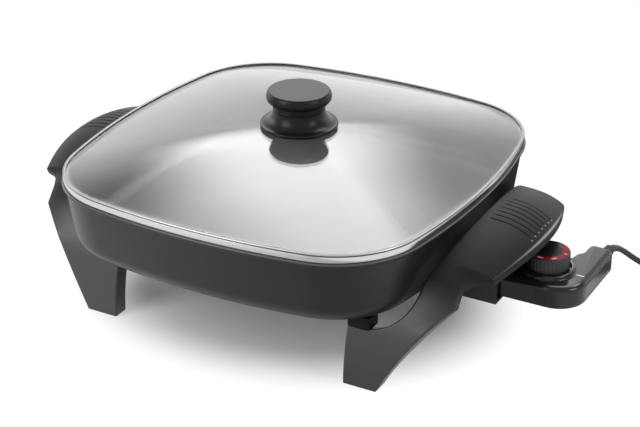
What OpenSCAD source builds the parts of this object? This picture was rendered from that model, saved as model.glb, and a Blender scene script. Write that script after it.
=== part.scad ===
// Square electric skillet: a cast pan on two arched side frames, a glass lid with a knob,
// and a plug-in temperature control with its probe, dial and mains lead.
// Every shape is laid out about the middle of the pan, on the surface the feet stand on, and the
// last step moves the whole skillet so that the origin is in the middle of its footprint.

/* [Pan] */
// Width of the pan's rim, side to side
pan_w = 302.4; // [280:1:330]
// Depth of the pan's rim, front to back
pan_l = 311.6; // [290:1:340]
// Radius of the four bowed sides
side_r = 510; // [420:10:700]
// Radius of the four corners at the rim
corner_r = 71.5; // [62:0.5:85]
// Height of the rim's top face above the table
rim_z = 110.6; // [104:0.2:120]
// Height of the rim's outer edge
rim_h = 3; // [2:0.5:4]
// Width of the rim flange outside the wall
rim_w = 2.6; // [2:0.2:4]
// Depth of the pan outside, rim to base
pan_depth = 52.6; // [46:0.2:56]
// How far the wall leans in from rim to base
pan_draft = 6; // [3:0.5:9]
// Radius that the wall turns into the base with
pan_edge_r = 15; // [8:1:16]
// Thickness of the pan's wall
wall_t = 3; // [2.5:0.5:4]
// Thickness of the pan's floor
floor_t = 4; // [3.5:0.5:6]

/* [Heating element] */
// Radius of the element's loop
loop_r = 80; // [60:1:84]
// Radius of the element's steel sheath
sheath_r = 4; // [3:0.25:4]
// Distance of each terminal from the probe's line
terminal_y = 12.5; // [12:0.25:13.5]
// Radius of the terminal pins
pin_r = 2.4; // [2:0.1:2.6]
// Length of each terminal pin outside its seal
pin_len = 18; // [14:1:20]
// Depth of the cast rib below the pan's base
rib_h = 8.5; // [8:0.5:10]

/* [Lid] */
// Gap all round between the rim's edge and the lid's band
band_inset = 1.2; // [0.8:0.1:2]
// Height of the lid's steel band
band_h = 6.7; // [6:0.1:9]
// Thickness of the band's sheet
band_t = 1; // [0.6:0.1:1.2]
// Width of the band's folded edges
band_fold = 3.4; // [3:0.2:5]
// Thickness of the lid's glass
glass_t = 4; // [3.5:0.25:4.5]
// Rise of the glass from the band to the knob's seat
dome_h = 19.1; // [10:0.1:24]
// Radius of the hole in the glass
glass_hole_r = 4.5; // [3.5:0.25:6]
// How far the lid lifts off
lid_lift = 180; // [120:10:260]

/* [Knob] */
// Height of the knob above the glass
knob_h = 27.5; // [26:0.5:32]
// Radius of the knob's flared base
knob_base_r = 29; // [26:0.5:32]
// Height of the knob's base, up to the neck
knob_base_h = 13.3; // [11:0.1:15]
// Radius of the knob's neck
knob_neck_r = 19.6; // [17:0.2:20]
// Radius of the knob's lip
knob_lip_r = 24.4; // [22:0.2:27]

/* [Side frames] */
// Distance from the middle to each foot's front face
foot_y = 110.5; // [104:0.5:118]
// How far each foot's inner face stands in from the rim's edge
foot_in = 55.2; // [53.2:0.5:59.2]
// Width of each foot where it stands
foot_w = 26.5; // [24:0.5:32]
// Depth of each leg, front to back
leg_t = 12.5; // [11:0.5:14]
// Height of the ledge that the pan's spacers stand on
ledge_z = 43.3; // [40:0.1:45]
// Height of the handle's top
wing_top = 106; // [102:0.5:108]
// Gap between the rim's edge and the handle's inner edge
handle_gap = 5.8; // [3.8:0.2:8.8]
// Width of the handle at its middle
handle_w = 43.6; // [39:0.2:49]
// Half length of the handle, corner to corner
wing_y = 69.5; // [62:0.5:74]
// How far the handle's outer edge falls below its crest
crown = 14; // [8:0.5:16]
// Thickness of the moulded frame
frame_t = 3.2; // [2.6:0.2:4]
// Depth of the lip round the frame's edges
lip_h = 6; // [5:0.5:8]
// Grip grooves on each side of the handle's middle
groove_count = 3; // [0:1:4]
// Distance from one grip groove to the next
groove_pitch = 6; // [4:0.5:8]
// Depth of the grip grooves
groove_d = 0.8; // [0.4:0.1:1.2]
// Distance from the handle's inner edge to the grooves' inner ends
groove_in = 6.7; // [4:0.1:11]
// Distance from the handle's outer edge to the grooves' outer ends
groove_out = 5.8; // [5.6:0.1:14]
// Radius of the screws that hold the frames
frame_screw_r = 2; // [1.5:0.25:2.5]
// Distance from each foot's inner face to its frame screw
frame_screw_out = 8; // [6:0.5:10]
// Distance from each foot's front face back to its frame screw
frame_screw_back = 13.5; // [12.5:0.25:14]

/* [Temperature control] */
// Height of the probe's axis
probe_z = 53.6; // [53.4:0.1:54]
// Radius of the probe's tube
probe_r = 3.1; // [2.6:0.1:3.2]
// Length of the probe in front of the control's nose
probe_len = 54; // [44:1:56]
// Half width of the control's neck
neck_y = 18.5; // [18:0.25:19]
// Height of the control's base
ctrl_z = 45; // [44.5:0.1:46]
// Height of the control's two shells together
ctrl_h = 17; // [16:0.5:18]
// Height of the lower shell
lower_h = 13; // [12.5:0.5:13.5]
// Length of the control, from its nose to its end
ctrl_len = 84.5; // [80:0.5:94]
// Radius of the control's rounded corner
ctrl_corner_r = 22; // [16:1:26]
// Distance from the probe's line to the cord end
arm_y = 59.5; // [56:0.5:64]
// Thickness of the control's shells
shell_t = 2; // [1.6:0.2:2.4]
// Distance from the control's nose to the dial's axis
dial_out = 52.5; // [50:0.5:56]
// Distance from the probe's line to the dial's axis
dial_y = 8; // [7:0.5:9]
// Radius of the dial
dial_r = 16; // [14:0.5:17]
// Height of the dial
dial_h = 10.8; // [9:0.2:13]
// Radius of the dial's shaft
shaft_r = 3; // [2.5:0.25:3.25]
// Radius of the raised collar round the dial
collar_r = 20; // [18.5:0.5:21]
// Height of that collar
collar_h = 3; // [2:0.25:4]
// How far the dial turns, in degrees
dial_turn = 290; // [240:5:320]
// How far the control pulls out
pull_out = 80; // [70:1:100]

/* [Mains lead] */
// Width of the flat cord
cord_w = 6.6; // [5.6:0.2:8]
// Thickness of the flat cord
cord_t = 4.2; // [3.6:0.2:5]
// Radius of the coil's inner turn, at the cord's middle
coil_r = 36.2; // [27:0.2:42]
// Turns of the coil, side by side, outside the inner one
coil_turns = 1; // [1:0.5:3]
// Gap between the coil's turns
coil_gap = 0.6; // [0.2:0.2:2]

/* [Hidden] */
$fn = 48;
clear = 0.3;        // gap between curved faces of different pieces
run_fit = 0.06;     // radial running fit round a shaft or pin
eps = 0.01;

// ---- outline of the pan and the lid -------------------------------------------------
half_w = pan_w / 2;
half_l = pan_l / 2;
foot_x0 = half_w - foot_in;
wing_x0 = half_w + handle_gap;
wing_x1 = wing_x0 + handle_w;
frame_screw_x = foot_x0 + frame_screw_out;
frame_screw_y = foot_y - frame_screw_back;

// Where two circles cross, on the left of the line from p to q
function meet(p, rp, q, rq) =
    let (d = norm(q - p),
         a = (d * d + rp * rp - rq * rq) / (2 * d),
         h = sqrt(rp * rp - a * a),
         e = (q - p) / d)
    p + a * e + h * [-e[1], e[0]];

side_c = side_r - half_w;                   // centre of a side's bow, behind the middle
front_c = side_r - half_l;
corner_c = meet([0, -front_c], side_r - corner_r, [-side_c, 0], side_r - corner_r) * -1;
corner_p = meet([-side_c, 0], side_r - corner_r, [0, -front_c], side_r - corner_r);
corner_a0 = atan2(corner_p[1], corner_p[0] + side_c);
corner_a1 = atan2(corner_p[1] + front_c, corner_p[0]);

side_n = 3;                                 // facets along half a bowed side
corner_n = 9;                               // facets round a corner

// One quarter of the outline, drawn in by d, from the side's middle to the front's
function quarter(d) = concat(
    [for (i = [0 : side_n - 1])
        let (a = corner_a0 * i / side_n)
        [(side_r - d) * cos(a) - side_c, (side_r - d) * sin(a)]],
    [for (i = [0 : corner_n])
        let (a = corner_a0 + (corner_a1 - corner_a0) * i / corner_n)
        corner_p + (corner_r - d) * [cos(a), sin(a)]],
    [for (i = [1 : side_n - 1])
        let (a = corner_a1 + (90 - corner_a1) * i / side_n)
        [(side_r - d) * cos(a), (side_r - d) * sin(a) - front_c]]);

function outline(d) =
    let (q = quarter(d), top = [0, half_l - d], n = len(q))
    concat(q,
        [top],
        [for (i = [n - 1 : -1 : 1]) [-q[i][0], q[i][1]]],
        [for (i = [0 : n - 1]) [-q[i][0], -q[i][1]]],
        [[0, d - half_l]],
        [for (i = [n - 1 : -1 : 1]) [q[i][0], -q[i][1]]]);

function lift(ring, z) = [for (p = ring) [p[0], p[1], z]];
function flat(lists) = [for (l = lists) each l];

// A closed skin over rings of points that turn anticlockwise about the way they are stacked
module skin(rings) {
    n = len(rings[0]);
    m = len(rings);
    sides = [for (k = [0 : m - 2], j = [0 : n - 1])
        let (j2 = (j + 1) % n)
        [(k + 1) * n + j, (k + 1) * n + j2, k * n + j2, k * n + j]];
    first = [for (j = [0 : n - 1]) j];
    last = [for (j = [n - 1 : -1 : 0]) (m - 1) * n + j];
    polyhedron(points = flat(rings), faces = concat(sides, [first], [last]), convexity = 8);
}

// Tubes along a route of points; a flat tube's width stays level
function unit(v) = v / norm(v);
function ahead(r, i) = unit(r[min(i + 1, len(r) - 1)] - r[max(i - 1, 0)]);
function tube_ring(p, t, section) =
    let (side = unit(cross([0, 0, 1], t)), up = cross(t, side))
    [for (c = section) p + c[0] * side + c[1] * up];

module tube(route, section) {
    skin([for (i = [0 : len(route) - 1]) tube_ring(route[i], ahead(route, i), section)]);
}

module round_tube(route, r, n) {
    tube(route, [for (i = [0 : n - 1]) r * [cos(360 * i / n), sin(360 * i / n)]]);
}

module flat_tube(route) {
    tube(route, [for (c = [[0.5, 0.2], [0.3, 0.5], [-0.3, 0.5], [-0.5, 0.2],
            [-0.5, -0.2], [-0.3, -0.5], [0.3, -0.5], [0.5, -0.2]])
        [c[0] * cord_w, c[1] * cord_t]]);
}

module four_corners(x, y) {
    for (sx = [-1, 1], sy = [-1, 1])
        translate([sx * x, sy * y, 0]) children();
}

// ---- heights ------------------------------------------------------------------------
base_z = rim_z - pan_depth;                 // underside of the pan
floor_z = base_z + floor_t;
rib_z = base_z - rib_h;                     // underside of the cast rib
boss_h = 5;                                 // cast bosses above the frame spacers
spacer_h = base_z - boss_h - ledge_z;

// ---- pan ----------------------------------------------------------------------------
wall_in = rim_w;                            // outside of the wall, in from the rim's edge
inner_edge_r = pan_edge_r - wall_t;
edge_n = 4;

function wall_inset(z) = wall_in + pan_draft * (rim_z - rim_h - z) / (pan_depth - rim_h);

outer_rings = [for (i = [0 : edge_n])
    let (a = 90 * i / edge_n)
    [wall_inset(base_z + pan_edge_r * (1 - cos(a))) + pan_edge_r * (1 - sin(a)),
     base_z + pan_edge_r * (1 - cos(a))]];
inner_rings = [for (i = [edge_n : -1 : 0])
    let (a = 90 * i / edge_n, z = floor_z + inner_edge_r * (1 - cos(a)))
    [wall_inset(z) + wall_t + inner_edge_r * (1 - sin(a)), z]];
pan_profile = concat(
    outer_rings,
    [[wall_in, rim_z - rim_h], [0, rim_z - rim_h + 0.4], [0, rim_z]],
    [[wall_in + wall_t, rim_z]],
    inner_rings);

// The element's path: a loop that closes in to two straight ends beside the probe
neck_r = 20;                                // bend between the loop and each straight end
bend_y = terminal_y + neck_r;
loop_x = -10;
bend_x = loop_x + sqrt((loop_r + neck_r) * (loop_r + neck_r) - bend_y * bend_y);
bend_a = atan2(bend_y, bend_x - loop_x);
block_x1 = half_w - 13.2;                   // end of the cast block at the terminals
seal_len = 6;
element_z = base_z - sheath_r - 0.6;

// The path as points along the middle of the sheath
loop_n = 40;
bend_n = 5;
function loop_point(a) = [loop_x + loop_r * cos(a), loop_r * sin(a), element_z];
function bend_point(s, i) =
    let (a = 180 + bend_a + (90 - bend_a) * i / bend_n)
    [bend_x + neck_r * cos(a), s * (bend_y + neck_r * sin(a)), element_z];
function sheath_route(x_end) = concat(
    [[x_end, terminal_y, element_z], [bend_x + 8, terminal_y, element_z]],
    [for (i = [bend_n : -1 : 1]) bend_point(1, i)],
    [for (i = [0 : loop_n]) loop_point(bend_a + (360 - 2 * bend_a) * i / loop_n)],
    [for (i = [1 : bend_n]) bend_point(-1, i)],
    [[bend_x + 8, -terminal_y, element_z], [x_end, -terminal_y, element_z]]);

// The sheath lies between two cast walls under the pan, open below
slot_w = sheath_r + run_fit;
rib_w = 8;
function rib_wall(x0, x1) = [for (p = [[x0, rib_z], [x1, rib_z], [x1, base_z + 1], [x0, base_z + 1]])
    [p[0], p[1] - element_z]];

block_x0 = bend_x + 7.5;
block_y = 25;
guard_screw_x = block_x1 - 8;
guard_screw_y = 20.9;
guard_screw_r = 1.5;
nose_x = block_x1 + seal_len + 2;           // the control's nose stands just off the seals
probe_tip_x = nose_x - probe_len;
ctrl_x1 = nose_x + ctrl_len;
dial_x = nose_x + dial_out;
boss_r0 = 6;                                // cast bosses that the frame screws run into

// The pan's outside, grown by a gap, for what stands against it
module pan_outside(gap) {
    skin([for (p = concat(outer_rings, [[wall_in, rim_z - rim_h]])) lift(outline(p[0] - gap), p[1] - gap)]);
}

module pan() {
    color([0.22, 0.22, 0.23])
    difference() {
        union() {
            skin([for (p = pan_profile) lift(outline(p[0]), p[1])]);
            tube(sheath_route(block_x0 + 2), rib_wall(slot_w, rib_w));
            tube(sheath_route(block_x0 + 2), rib_wall(-rib_w, -slot_w));
            translate([block_x0, -block_y, rib_z])
                cube([block_x1 - block_x0, 2 * block_y, base_z + 1 - rib_z]);
            four_corners(frame_screw_x, frame_screw_y)
                translate([0, 0, base_z - boss_h]) cylinder(r = boss_r0, h = boss_h + 1);
        }
        for (s = [-1, 1])
            translate([block_x0 - 1, s * terminal_y - slot_w, rib_z - 1])
                cube([block_x1 - block_x0 + 2, 2 * slot_w, element_z + slot_w - rib_z + 1]);
        translate([probe_tip_x - 2, 0, probe_z])
            rotate([0, 90, 0]) cylinder(r = probe_r + run_fit, h = block_x1 - probe_tip_x + 3);
        four_corners(frame_screw_x, frame_screw_y)
            translate([0, 0, base_z - boss_h - 1])
                cylinder(r = frame_screw_r + run_fit, h = boss_h + floor_t - 0.5);
        for (s = [-1, 1])
            translate([guard_screw_x, s * guard_screw_y, rib_z - 1])
                cylinder(r = guard_screw_r + run_fit, h = 8);
    }
}

module heating_element() {
    color([0.45, 0.44, 0.42]) round_tube(sheath_route(block_x1), sheath_r, 12);
}

module element_seals() {
    color([0.86, 0.84, 0.78])
    for (s = [-1, 1])
        translate([block_x1, s * terminal_y, element_z])
            rotate([0, 90, 0])
                difference() {
                    cylinder(r = sheath_r, h = seal_len);
                    translate([0, 0, -1]) cylinder(r = pin_r, h = seal_len + 2);
                }
}

module terminal_pins() {
    color([0.75, 0.76, 0.78])
    for (s = [-1, 1])
        translate([block_x1, s * terminal_y, element_z])
            rotate([0, 90, 0]) {
                cylinder(r = pin_r, h = seal_len + pin_len - 1.2);
                translate([0, 0, seal_len + pin_len - 1.2])
                    cylinder(r1 = pin_r, r2 = pin_r - 0.8, h = 1.2);
            }
}

// ---- socket guard -------------------------------------------------------------------
guard_x0 = block_x1 + 0.05;
guard_x1 = block_x1 + 35;
guard_t = 2.4;
guard_y = neck_y + 2 + guard_t;
guard_z0 = ctrl_z - 2.4 - guard_t;
guard_z1 = ctrl_z + ctrl_h + 1.6 + guard_t;
ear_x0 = guard_screw_x - 6;
ear_t = 2.6;
ear_y = 16.6;                               // inner edge of each ear, clear of the sheath

module socket_guard() {
    color([0.09, 0.09, 0.10])
    difference() {
        union() {
            translate([guard_x0, -guard_y, guard_z0])
                cube([guard_x1 - guard_x0, 2 * guard_y, guard_z1 - guard_z0]);
            for (s = [-1, 1])
                translate([ear_x0, s > 0 ? ear_y : -block_y, rib_z - ear_t])
                    cube([guard_x0 + guard_t - ear_x0, block_y - ear_y, ear_t]);
        }
        translate([guard_x0 + guard_t, -guard_y + guard_t, guard_z0 + guard_t])
            cube([guard_x1 - guard_x0, 2 * (guard_y - guard_t), guard_z1 - guard_z0 - 2 * guard_t]);
        for (s = [-1, 1]) {
            translate([guard_x0 - 1, s * terminal_y, element_z])
                rotate([0, 90, 0]) cylinder(r = sheath_r + clear, h = guard_t + 2);
            translate([guard_screw_x, s * guard_screw_y, rib_z - ear_t - 1])
                cylinder(r = guard_screw_r + run_fit, h = ear_t + 2);
        }
        translate([guard_x0 - 1, 0, probe_z])
            rotate([0, 90, 0]) cylinder(r = probe_r + 2 * clear, h = guard_t + 2);
        pan_outside(clear);
    }
}

module screw(r, len, head_r, head_h) {
    translate([0, 0, -head_h]) cylinder(r = head_r, h = head_h);
    cylinder(r = r, h = len);
}

module guard_screws() {
    color([0.7, 0.7, 0.72])
    for (s = [-1, 1])
        translate([guard_screw_x, s * guard_screw_y, rib_z - ear_t])
            difference() {
                screw(guard_screw_r, ear_t + 5.5, 2.8, 1.8);
                translate([0, 0, -2]) cross_slot(3.4);
            }
}

module cross_slot(w) {
    for (a = [0, 90])
        rotate([0, 0, a]) translate([-w / 2, -0.4, 0]) cube([w, 0.8, 1]);
}

// ---- side frames --------------------------------------------------------------------
// The frame follows an arch from the front foot, up the leg, over the handle and down to the back
// foot. The arch is three arcs that run into each other; each point is given by the angle of the
// frame's outward face, from 0 at the foot to 90 on the handle's top.
leg_arc_r = 138;
knee_r = 12;
wing_arc_r = 165;
leg_c = [foot_y - leg_arc_r, 0];
wing_c = [0, wing_top - wing_arc_r];
knee_c = meet(wing_c, wing_arc_r - knee_r, leg_c, leg_arc_r - knee_r);
knee_p = knee_c[0] > 0 ? knee_c : meet(leg_c, leg_arc_r - knee_r, wing_c, wing_arc_r - knee_r);
knee_a0 = atan2(knee_p[1] - leg_c[1], knee_p[0] - leg_c[0]);
knee_a1 = atan2(knee_p[1] - wing_c[1], knee_p[0] - wing_c[0]);

function arch(a) =
    a < knee_a0 ? leg_c + leg_arc_r * [cos(a), sin(a)] :
    a < knee_a1 ? knee_p + knee_r * [cos(a), sin(a)] :
    wing_c + wing_arc_r * [cos(a), sin(a)];

function leg_angle(z) = asin(z / leg_arc_r);
function wing_angle(y) = acos(y / wing_arc_r);

groove_x0 = wing_x0 + groove_in;
groove_x1 = wing_x1 - groove_out;
valley_r = 38.5;                            // curve of the frame's inner edge under the pan
valley_x = foot_x0 + 9.5;
leg_y = foot_y - 28.5;                      // nearer the middle than this the frame is handle
valley_z = ledge_z + valley_r;
inner_bow_r = 290;                          // bow of the handle's inner edge
outer_bow_r = 186;                          // bow of the handle's outer edge
notch_r = 17;                               // curve between the handle's corner and the leg
corner_x = wing_x1 - wing_y * wing_y / (2 * outer_bow_r);
shoulder_x = corner_x - notch_r;
flare_1 = 0.47;                             // how fast the leg widens as it rises
flare_2 = 0.0031;

function inner_x(p) =
    p[1] < ledge_z ? foot_x0 :
    p[1] < valley_z && p[0] > leg_y ? valley_x + sqrt(valley_r * valley_r - pow(valley_z - p[1], 2)) :
    wing_x0 - p[0] * p[0] / (2 * inner_bow_r);

function outer_x(p) =
    p[0] <= wing_y ? wing_x1 - p[0] * p[0] / (2 * outer_bow_r) :
    p[0] <= wing_y + notch_r && p[1] > ledge_z ?
        corner_x - sqrt(notch_r * notch_r - pow(wing_y + notch_r - p[0], 2)) :
    min(shoulder_x, foot_x0 + foot_w + flare_1 * p[1] + flare_2 * p[1] * p[1]);

crown_y = 101;                              // where the crown has died away
function crown_at(y) = crown * max(0.002, 1 - pow(y / crown_y, 2));

// How far the solid leg reaches back, and how thick the plate between the lips is
function leg_share(z) = max(0, min(1, (knee_p[1] - 12 - z) / 22));
function edge_depth(p) = lip_h + (leg_t - lip_h) * leg_share(p[1]);
function plate_depth(p) = frame_t + (leg_t - 1 - frame_t) * leg_share(p[1]);

across_n = 7;

// One slice across the frame. dir is -1 on the front half and 1 on the back half.
function slice(a, dir) =
    let (p = arch(a),
         x0 = inner_x(p),
         x1 = outer_x(p),
         fall = crown_at(p[0]),
         e = edge_depth(p),
         t = plate_depth(p),
         at = function(x, d)
            let (v = (x - x0) / (x1 - x0), q = d + fall * pow(v, 3))
            [x, dir * (p[0] - q * cos(a)), p[1] - q * sin(a)],
         top = [for (i = [0 : across_n]) at(x0 + (x1 - x0) * i / across_n, 0)],
         under = [for (i = [across_n : -1 : 0])
            at(x0 + frame_t + (x1 - x0 - 2 * frame_t) * i / across_n, t)])
    concat(top,
        [at(x1, e), at(x1 - frame_t, e)],
        under,
        [at(x0 + frame_t, e), at(x0, e)]);

knee_z = arch(knee_a0)[1];
leg_zs = concat(
    [0, 9, 18, 27, 36, ledge_z - 0.1, ledge_z + 0.1, ledge_z + 1.5],
    [for (i = [1 : 6]) ledge_z + 1.5 + (knee_z - 0.6 - ledge_z - 1.5) * i / 6]);
notch_y0 = arch(knee_a1)[0];
wing_ys = concat(
    [for (i = [1 : 5]) notch_y0 + (wing_y - notch_y0) * i / 5],
    [for (i = [1 : 7]) wing_y * (1 - i / 7)]);
half_angles = concat(
    [for (z = leg_zs) leg_angle(z)],
    [knee_a0 + 0.3, (knee_a0 + knee_a1) / 2, knee_a1 + 0.1],
    [for (y = wing_ys) wing_angle(y)]);
frame_slices = concat(
    [for (a = half_angles) slice(a, -1)],
    [for (i = [len(half_angles) - 2 : -1 : 0]) slice(half_angles[i], 1)]);

// Grip grooves run across the handle, each as a slot that follows the crown
groove_n = 8;
function handle_z(x, y) =
    let (v = (x - inner_x([y, wing_top])) / (wing_x1 - wing_x0), a = wing_angle(y))
    arch(a)[1] - crown_at(y) * pow(v, 3) * sin(a);
function groove_ring(x, y) =
    let (z = handle_z(x, y))
    [[x, y - 0.5, z - groove_d], [x, y + 0.5, z - groove_d], [x, y + 0.9, z + 2], [x, y - 0.9, z + 2]];

module grip_grooves() {
    for (i = [-groove_count : groove_count]) {
        y = groove_pitch * i;
        skin([for (k = [0 : groove_n])
            groove_ring(groove_x0 + (groove_x1 - groove_x0) * k / groove_n, y)]);
    }
}

screw_seat_z = ledge_z - 6;                 // where the frame screws' heads bear

module side_frame() {
    difference() {
        union() {
            difference() {
                skin(frame_slices);
                grip_grooves();
            }
            for (s = [-1, 1])
                translate([frame_screw_x, s * frame_screw_y, ledge_z - 11])
                    cylinder(r = 6.6, h = 11);
        }
        for (s = [-1, 1])
            translate([frame_screw_x, s * frame_screw_y, -1]) {
                cylinder(r = frame_screw_r + run_fit, h = ledge_z + 3);
                cylinder(r = 4.6, h = screw_seat_z + 1);
            }
    }
}

module right_frame() {
    color([0.20, 0.20, 0.21]) side_frame();
}

module left_frame() {
    color([0.20, 0.20, 0.21]) mirror([1, 0, 0]) side_frame();
}

module frame_spacers() {
    color([0.06, 0.06, 0.06])
    four_corners(frame_screw_x, frame_screw_y)
        translate([0, 0, ledge_z])
            difference() {
                cylinder(r = 7, h = spacer_h);
                translate([0, 0, -1]) cylinder(r = frame_screw_r + run_fit, h = spacer_h + 2);
            }
}

module frame_screws() {
    color([0.7, 0.7, 0.72])
    four_corners(frame_screw_x, frame_screw_y)
        translate([0, 0, screw_seat_z])
            difference() {
                screw(frame_screw_r, base_z + 2 - screw_seat_z, 4, 2.4);
                translate([0, 0, -2.6]) cross_slot(5);
            }
}

// ---- lid ----------------------------------------------------------------------------
band_z = rim_z + clear;
band_top = band_z + band_h;
crimp = 0.1;                                // gap between the glass and the band's folds
glass_in = band_inset + band_t + 0.2;       // edge of the glass, in from the rim's edge
glass_top = band_top - band_t - crimp;        // top of the glass at its edge
crown_z = glass_top + dome_h;
seat_share = 0.2;                           // share of the glass that is flat for the knob
dome_n = 6;

function dome_z(k) =
    k < seat_share ? crown_z : crown_z - dome_h * pow((k - seat_share) / (0.985 - seat_share), 2.2);
function shrink(ring, k) = [for (p = ring) k * p];
glass_ring = outline(glass_in);
margin_ring = outline(band_fold + 0.5);     // the glass is flat as far as the band's folds
dome_ks = [for (i = [0 : dome_n]) seat_share + (0.965 - seat_share) * i / dome_n];

module lid_glass() {
    color([0.75, 0.77, 0.78, 0.35])
    difference() {
        skin(concat(
            [for (k = dome_ks) lift(shrink(glass_ring, k), dome_z(k) - glass_t)],
            [lift(margin_ring, glass_top - glass_t), lift(glass_ring, glass_top - glass_t),
             lift(glass_ring, glass_top), lift(margin_ring, glass_top)],
            [for (i = [dome_n : -1 : 0]) lift(shrink(glass_ring, dome_ks[i]), dome_z(dome_ks[i]))]));
        translate([0, 0, crown_z - 2 * glass_t]) cylinder(r = glass_hole_r, h = 3 * glass_t);
    }
}

module band_slab(d0, d1, h) {
    linear_extrude(h)
        difference() {
            polygon(outline(d0));
            polygon(outline(d1));
        }
}

module lid_rim() {
    color([0.80, 0.80, 0.81]) {
        translate([0, 0, band_z]) band_slab(band_inset, band_inset + band_t, band_h);
        translate([0, 0, band_z])
            band_slab(band_inset + band_t / 2, band_fold, glass_top - glass_t - crimp - band_z);
        translate([0, 0, band_top - band_t]) band_slab(band_inset + band_t / 2, band_fold, band_t);
    }
}

bell_z = 2.3;                               // top of the base's upright rim, where its flare starts
bell_r0 = knob_neck_r - 0.6;                // the flare's narrow end, under the grip
bell_r1 = knob_base_r - 0.4;                // its wide end, a small step in from the rim
stem_r = 12;                                // the grip's stem, which fills the base's bore

module knob_base() {
    color([0.07, 0.07, 0.07])
    translate([0, 0, crown_z])
    rotate_extrude($fn = 72)
        difference() {
            translate([stem_r, 0]) square([knob_base_r - stem_r, knob_base_h]);
            translate([bell_r1, knob_base_h])
                scale([bell_r1 - bell_r0, knob_base_h - bell_z])
                    circle(1, $fn = 60);
            translate([bell_r1, bell_z]) square([2, knob_base_h]);
            translate([knob_base_r - 0.8, -1]) square([2, 1.6]);
        }
}

lip_w = 2.5;                                // roundness of the grip's lip, out and up
lip_h2 = 4.8;
lip_under = 4.5;                            // height of the curve from the neck out to the lip
lip_z = knob_h - lip_h2;                    // height of the knob's widest point
grip_z0 = knob_base_h + 0.05;
grip_profile = concat(
    [[0, grip_z0], [knob_neck_r - 0.4, grip_z0], [knob_neck_r, grip_z0 + 0.4]],
    [for (a = [0 : 9 : 90]) [knob_neck_r + (knob_lip_r - knob_neck_r) * sin(a), lip_z - lip_under * cos(a)]],
    [for (a = [9 : 9 : 90]) [knob_lip_r - lip_w * (1 - cos(a)), lip_z + lip_h2 * sin(a)]],
    [[0, knob_h]]);

module knob_grip() {
    color([0.07, 0.07, 0.07])
    translate([0, 0, crown_z])
    difference() {
        rotate_extrude($fn = 72) {
            polygon(grip_profile);
            square([stem_r - clear, lip_z]);
        }
        translate([0, 0, -1]) cylinder(r = insert_r, h = insert_len + 3);
    }
}

insert_len = 12;
insert_r = 4;

module knob_insert() {
    color([0.80, 0.66, 0.30])
    translate([0, 0, crown_z])
        difference() {
            cylinder(r = insert_r, h = insert_len);
            translate([0, 0, -1]) cylinder(r = 2.06, h = insert_len);
        }
}

washer_r = 13;
washer_t = 1.6;

module knob_washer() {
    color([0.10, 0.10, 0.10])
    translate([0, 0, crown_z - glass_t - washer_t])
        difference() {
            cylinder(r = washer_r, h = washer_t);
            translate([0, 0, -1]) cylinder(r = 2.3, h = washer_t + 2);
        }
}

module knob_screw() {
    color([0.75, 0.76, 0.78])
    translate([0, 0, crown_z - glass_t - washer_t])
        difference() {
            screw(2, glass_t + washer_t + 9, 4.2, 2.4);
            translate([0, 0, -2.6]) cross_slot(5.4);
        }
}

// ---- temperature control ------------------------------------------------------------
split_z = ctrl_z + lower_h;
ctrl_top = ctrl_z + ctrl_h;
body_r = dial_y + neck_y;                   // the round part of the body is centred on the dial
arm_x0 = ctrl_x1 - 18.5;
lead_x = (arm_x0 + ctrl_x1) / 2 + 2;
lead_z = ctrl_z + 9.5;
bay_y = dial_y + body_r + 0.1;              // back of the round part

module ctrl_plan(d) {
    difference() {
        union() {
            translate([nose_x + d, -neck_y + d]) square([dial_x - nose_x, 2 * (neck_y - d)]);
            translate([dial_x, dial_y]) circle(body_r - d, $fn = 72);
            translate([dial_x, -neck_y + d])
                square([ctrl_x1 - ctrl_corner_r - dial_x, arm_y + neck_y - 2 * d]);
            translate([dial_x, ctrl_corner_r - neck_y])
                square([ctrl_x1 - d - dial_x, arm_y - d - ctrl_corner_r + neck_y]);
            translate([ctrl_x1 - ctrl_corner_r, ctrl_corner_r - neck_y])
                circle(ctrl_corner_r - d, $fn = 72);
        }
        polygon([[dial_x - 30, bay_y - d], [dial_x, bay_y - d], [arm_x0 - 7 + d, bay_y + 3 - d],
            [arm_x0 - 2 + d, bay_y + 8.5], [arm_x0 + d, bay_y + 15],
            [arm_x0 + d, arm_y + 10], [dial_x - 30, arm_y + 10]]);
    }
}

ctrl_screws = [[ctrl_x1 - 11.5, ctrl_corner_r - neck_y - 13], [arm_x0 + 5.6, arm_y - 21.5],
    [dial_x - 15.5, dial_y + 14]];
shell_screw_r = 1.4;
boss_r = 3.4;

module at_ctrl_screws() {
    for (p = ctrl_screws) translate([p[0], p[1], 0]) children();
}

grip_ribs = 5;

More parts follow.
